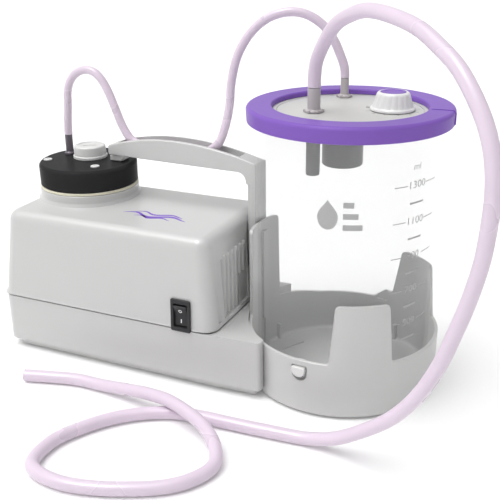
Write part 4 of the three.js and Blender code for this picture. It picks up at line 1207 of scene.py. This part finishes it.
def regulator_knob():
    """A tapered knob with scalloped sides, a flange below and a recess on top for the inlay."""
    low, high = span("regulator_knob")
    around = FLUTES * 10
    levels = [
        (13.2, low.z, 0), (13.6, low.z + 0.3, 0), (13.6, low.z + 1.2, 0), (13.1, low.z + 1.7, 0),
        (12.5, low.z + 1.9, 0.2), (12.2, low.z + 2.6, 0.8), (11.5, 184.4, 1), (10.6, 187.4, 1),
        (10.2, 188.6, 0.8), (9.9, 189.5, 0.2), (9.3, 190.3, 0), (8.6, 190.75, 0), (8.1, high.z, 0),
        (7.9, high.z - 0.2, 0), (7.8, 190, 0),
    ]
    rings = []
    for radius, z, share in levels:
        ring = []
        for k in range(around):
            angle = TAU * k / around
            reach = radius - FLUTE_DEPTH * share * (1 - abs(math.sin(FLUTES * angle / 2)) ** 0.7)
            ring.append((KNOB_AXIS.x + reach * math.cos(angle), KNOB_AXIS.y + reach * math.sin(angle), z))
        rings.append(ring)
    return smooth(cut(skin("vacuum_knob", rings), drum("bore", KNOB_AXIS, 2.6, 170, 188.2, 24)), 50)


def knob_inlay():
    low, high = span("knob_inlay")
    return smooth(lathe("knob_disc", KNOB_AXIS, [
        (0, low.z), (7.6, low.z), (7.6, high.z, 0.25), (5.6, high.z, 0.2), (5.3, high.z - 0.25, 0.2),
        (0, high.z - 0.25),
    ], 64))


def inlet_pipe():
    low, high = span("inlet_pipe")
    return smooth(lathe("drop_pipe", PATIENT_AXIS, [
        (3.3, low.z, 0.2), (4.1, low.z, 0.3), (4.3, low.z + 2), (4.3, high.z), (3.3, high.z),
    ], 48))


def float_cage():
    """The overflow valve's cage, open below and with four windows up high."""
    low, high = span("float_cage")
    radius = (high.x - low.x) / 2
    cage = lathe("overflow_cage", CAGE_AXIS, [
        (8, low.z, 0.4), (radius, low.z, 1.4), (radius, high.z), (12, high.z), (12, low.z + 2, 0.5),
        (8, low.z + 2, 0.3),
    ], 96)
    place = (CAGE_AXIS.x, CAGE_AXIS.y, 166)
    windows = [
        turned(soften(block("window", (-20, -2.5, -3), (20, 2.5, 3)), 0.8), place, turn)
        for turn in (0, math.pi / 2)
    ]
    return smooth(cut(cage, *windows))


dress(locking_ring(), PURPLE, "ring", "ring_purple", "lid_ring")
dress(lid_disc(), LID, "jar", "lid_grey", "lid_disc")
dress(
    lid_nipple("patient_port", PATIENT_AXIS, 3.9, 2.2, 3, span("patient_nipple")[1].z, PATIENT_BORE),
    LID_TUBE, "jar", "lid_grey", "patient_nipple",
)
dress(
    lid_nipple("vacuum_port", VACUUM_AXIS, 2.7, 1.3, 2.1, span("vacuum_nipple")[1].z, VACUUM_BORE),
    LID_TUBE, "jar", "lid_grey", "vacuum_nipple",
)
dress(regulator_knob(), KNOB, "knob", "lid_grey", "regulator_knob")
dress(knob_inlay(), PURPLE, "knob", "ring_purple", "knob_inlay")
# the drop pipe and float cage take the dark grey that is painted shade, not their own light grey
dress(inlet_pipe(), SHADED_INNER, "jar", "inner_grey", "inlet_pipe")
dress(float_cage(), SHADED_INNER, "jar", "inner_grey", "float_cage")


# ---------- back and underside ----------
def power_inlet():
    """A mains inlet with a rounded shroud, a recessed socket and two pins."""
    low, high = span("power_inlet")
    place = (low + high) / 2
    face = high.y

    def upright(width, height, y0, y1, corner):
        return move(plate("inlet", width, height, y0, y1, corner), Matrix.Translation((place.x, 0, place.z)))

    flange = soften(upright(28, 16, face - 1.7, face, 2.5), 0.5, segments=3)
    join(flange, upright(20, 10, low.y, face - 1, 1), upright(18, 9.2, face - 2, face + 1.6, 3.6))
    cut(flange, upright(16, 7.2, face - 13, face + 5, 3.2))
    pins = [
        turned(drum("pin", (0, 0), 1.2, 0, 9, 20), (place.x + shift, face - 14, place.z), -math.pi / 2, "X")
        for shift in (-4.3, 4.3)
    ]
    join(flange, *[soften(pin, 0.4) for pin in pins])
    return smooth(flange)


def rubber_pad(i):
    low, high = span(f"rubber_foot_{i}")
    return smooth(lathe(f"pad_{i}", (low + high) / 2, [
        (0, low.z + 0.3), (4.6, low.z + 0.3), (4.9, low.z, 0.1), (7, low.z, 0.35), (7, high.z, 0.2),
        (0, high.z),
    ], 56))


dress(power_inlet(), BLACK, "root", "black_plastic", "power_inlet")
for i in (1, 2, 3, 4):
    dress(rubber_pad(i), RUBBER, "root", "rubber", f"rubber_foot_{i}")

# ---------- CAD pieces that are right as they are ----------
KEPT = {
    FELT: ["filter_element"],
    RUBBER: ["valve_membrane", "diaphragm", "motor_cradle", "lid_seal", "float_seal"],
    CAST: ["valve_plate", "pump_frame", "connecting_rod"],
    BRONZE: ["front_bearing", "rear_bearing"],
    COPPER: ["stator_core"],
    CAN_STEEL: ["motor_can", "rotor_core"],
    SHAFT_STEEL: ["rotor_shaft", "eccentric", "latch_spring", "regulator_spindle"],
    STEEL: [
        "cover_screw_1", "cover_screw_2", "cover_screw_3", "cover_screw_4", "handle_screw", "post_screw_1",
        "post_screw_2", "diaphragm_screw",
    ],
    BLACK: ["cooling_fan"],
    WHITE: ["float_valve"],
    # painted shade: the regulator body takes the dark grey that stands in for the shade inside the jar
    SHADED_INNER: ["regulator_body"],
}
for look, names in KEPT.items():
    for name in names:
        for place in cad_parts[name].material_slots:
            place.link = "OBJECT"
            place.material = look.material


# ---------- floor and light ----------
FLOOR_REACH, FLOOR_Z = 12000, -0.2
SKY_LEFT, SKY_RIGHT = 0.77 * 1.1, 0.77 * 0.42  # brightness on each side


def make_floor():
    reach = FLOOR_REACH
    corners = [(-reach, -reach), (reach, -reach), (reach, reach), (-reach, reach)]
    floor = new_piece("floor", [(x, y, FLOOR_Z) for x, y in corners], [[0, 1, 2, 3]])
    look = Look("pale_floor")
    look.colour(look.noise(3), (0.86, 0.86, 0.86), (0.88, 0.88, 0.88))
    look.set(Roughness=0.9, Emission_Color=(1, 1, 1, 1), Emission_Strength=0.08)
    floor.data.materials.append(look.material)


def make_sky():
    """A pale surround that is darker to the right of the pump."""
    world = bpy.data.worlds.new("studio")
    bpy.context.scene.world = world
    world.use_nodes = True
    tree = world.node_tree
    place = tree.nodes.new("ShaderNodeTexCoord").outputs["Generated"]
    parts = tree.nodes.new("ShaderNodeSeparateXYZ")
    tree.links.new(place, parts.inputs["Vector"])
    ramp = tree.nodes.new("ShaderNodeMapRange")
    for name, value in (("From Min", -0.6), ("From Max", 0.9), ("To Min", SKY_LEFT), ("To Max", SKY_RIGHT)):
        ramp.inputs[name].default_value = value
    tree.links.new(parts.outputs["X"], ramp.inputs["Value"])
    tree.links.new(ramp.outputs["Result"], tree.nodes["Background"].inputs["Strength"])
    tree.nodes["Background"].inputs["Color"].default_value = (1, 1, 1, 1)


def add_light(name, kind, energy):
    data = bpy.data.lights.new(name, kind)
    data.energy = energy
    return add_object(name, data)


def make_sun(name, direction, energy, spread):
    light = add_light(name, "SUN", energy)
    light.data.angle = math.radians(spread)
    light.rotation_mode = "QUATERNION"
    light.rotation_quaternion = Vector(direction).to_track_quat("-Z", "Y")
    return light


def make_bowl_light():
    """A soft lamp in the jar, so that the cup's inside isn't lost in the lid's shadow."""
    light = add_light("bowl_light", "POINT", 0.055)
    light.data.shadow_soft_size = 25 * MM
    light.location = Vector((JAR.x, JAR.y, 48)) * MM
    light.visible_camera = False
    light.visible_glossy = False


make_floor()
make_sky()
make_sun("key", (0.20, 0.26, -1.0), 2.3, 55)
make_sun("gloss", (0.22, 0.40, -1.0), 2.4, 12).visible_diffuse = False
make_bowl_light()
bpy.context.scene.view_settings.view_transform = "Standard"
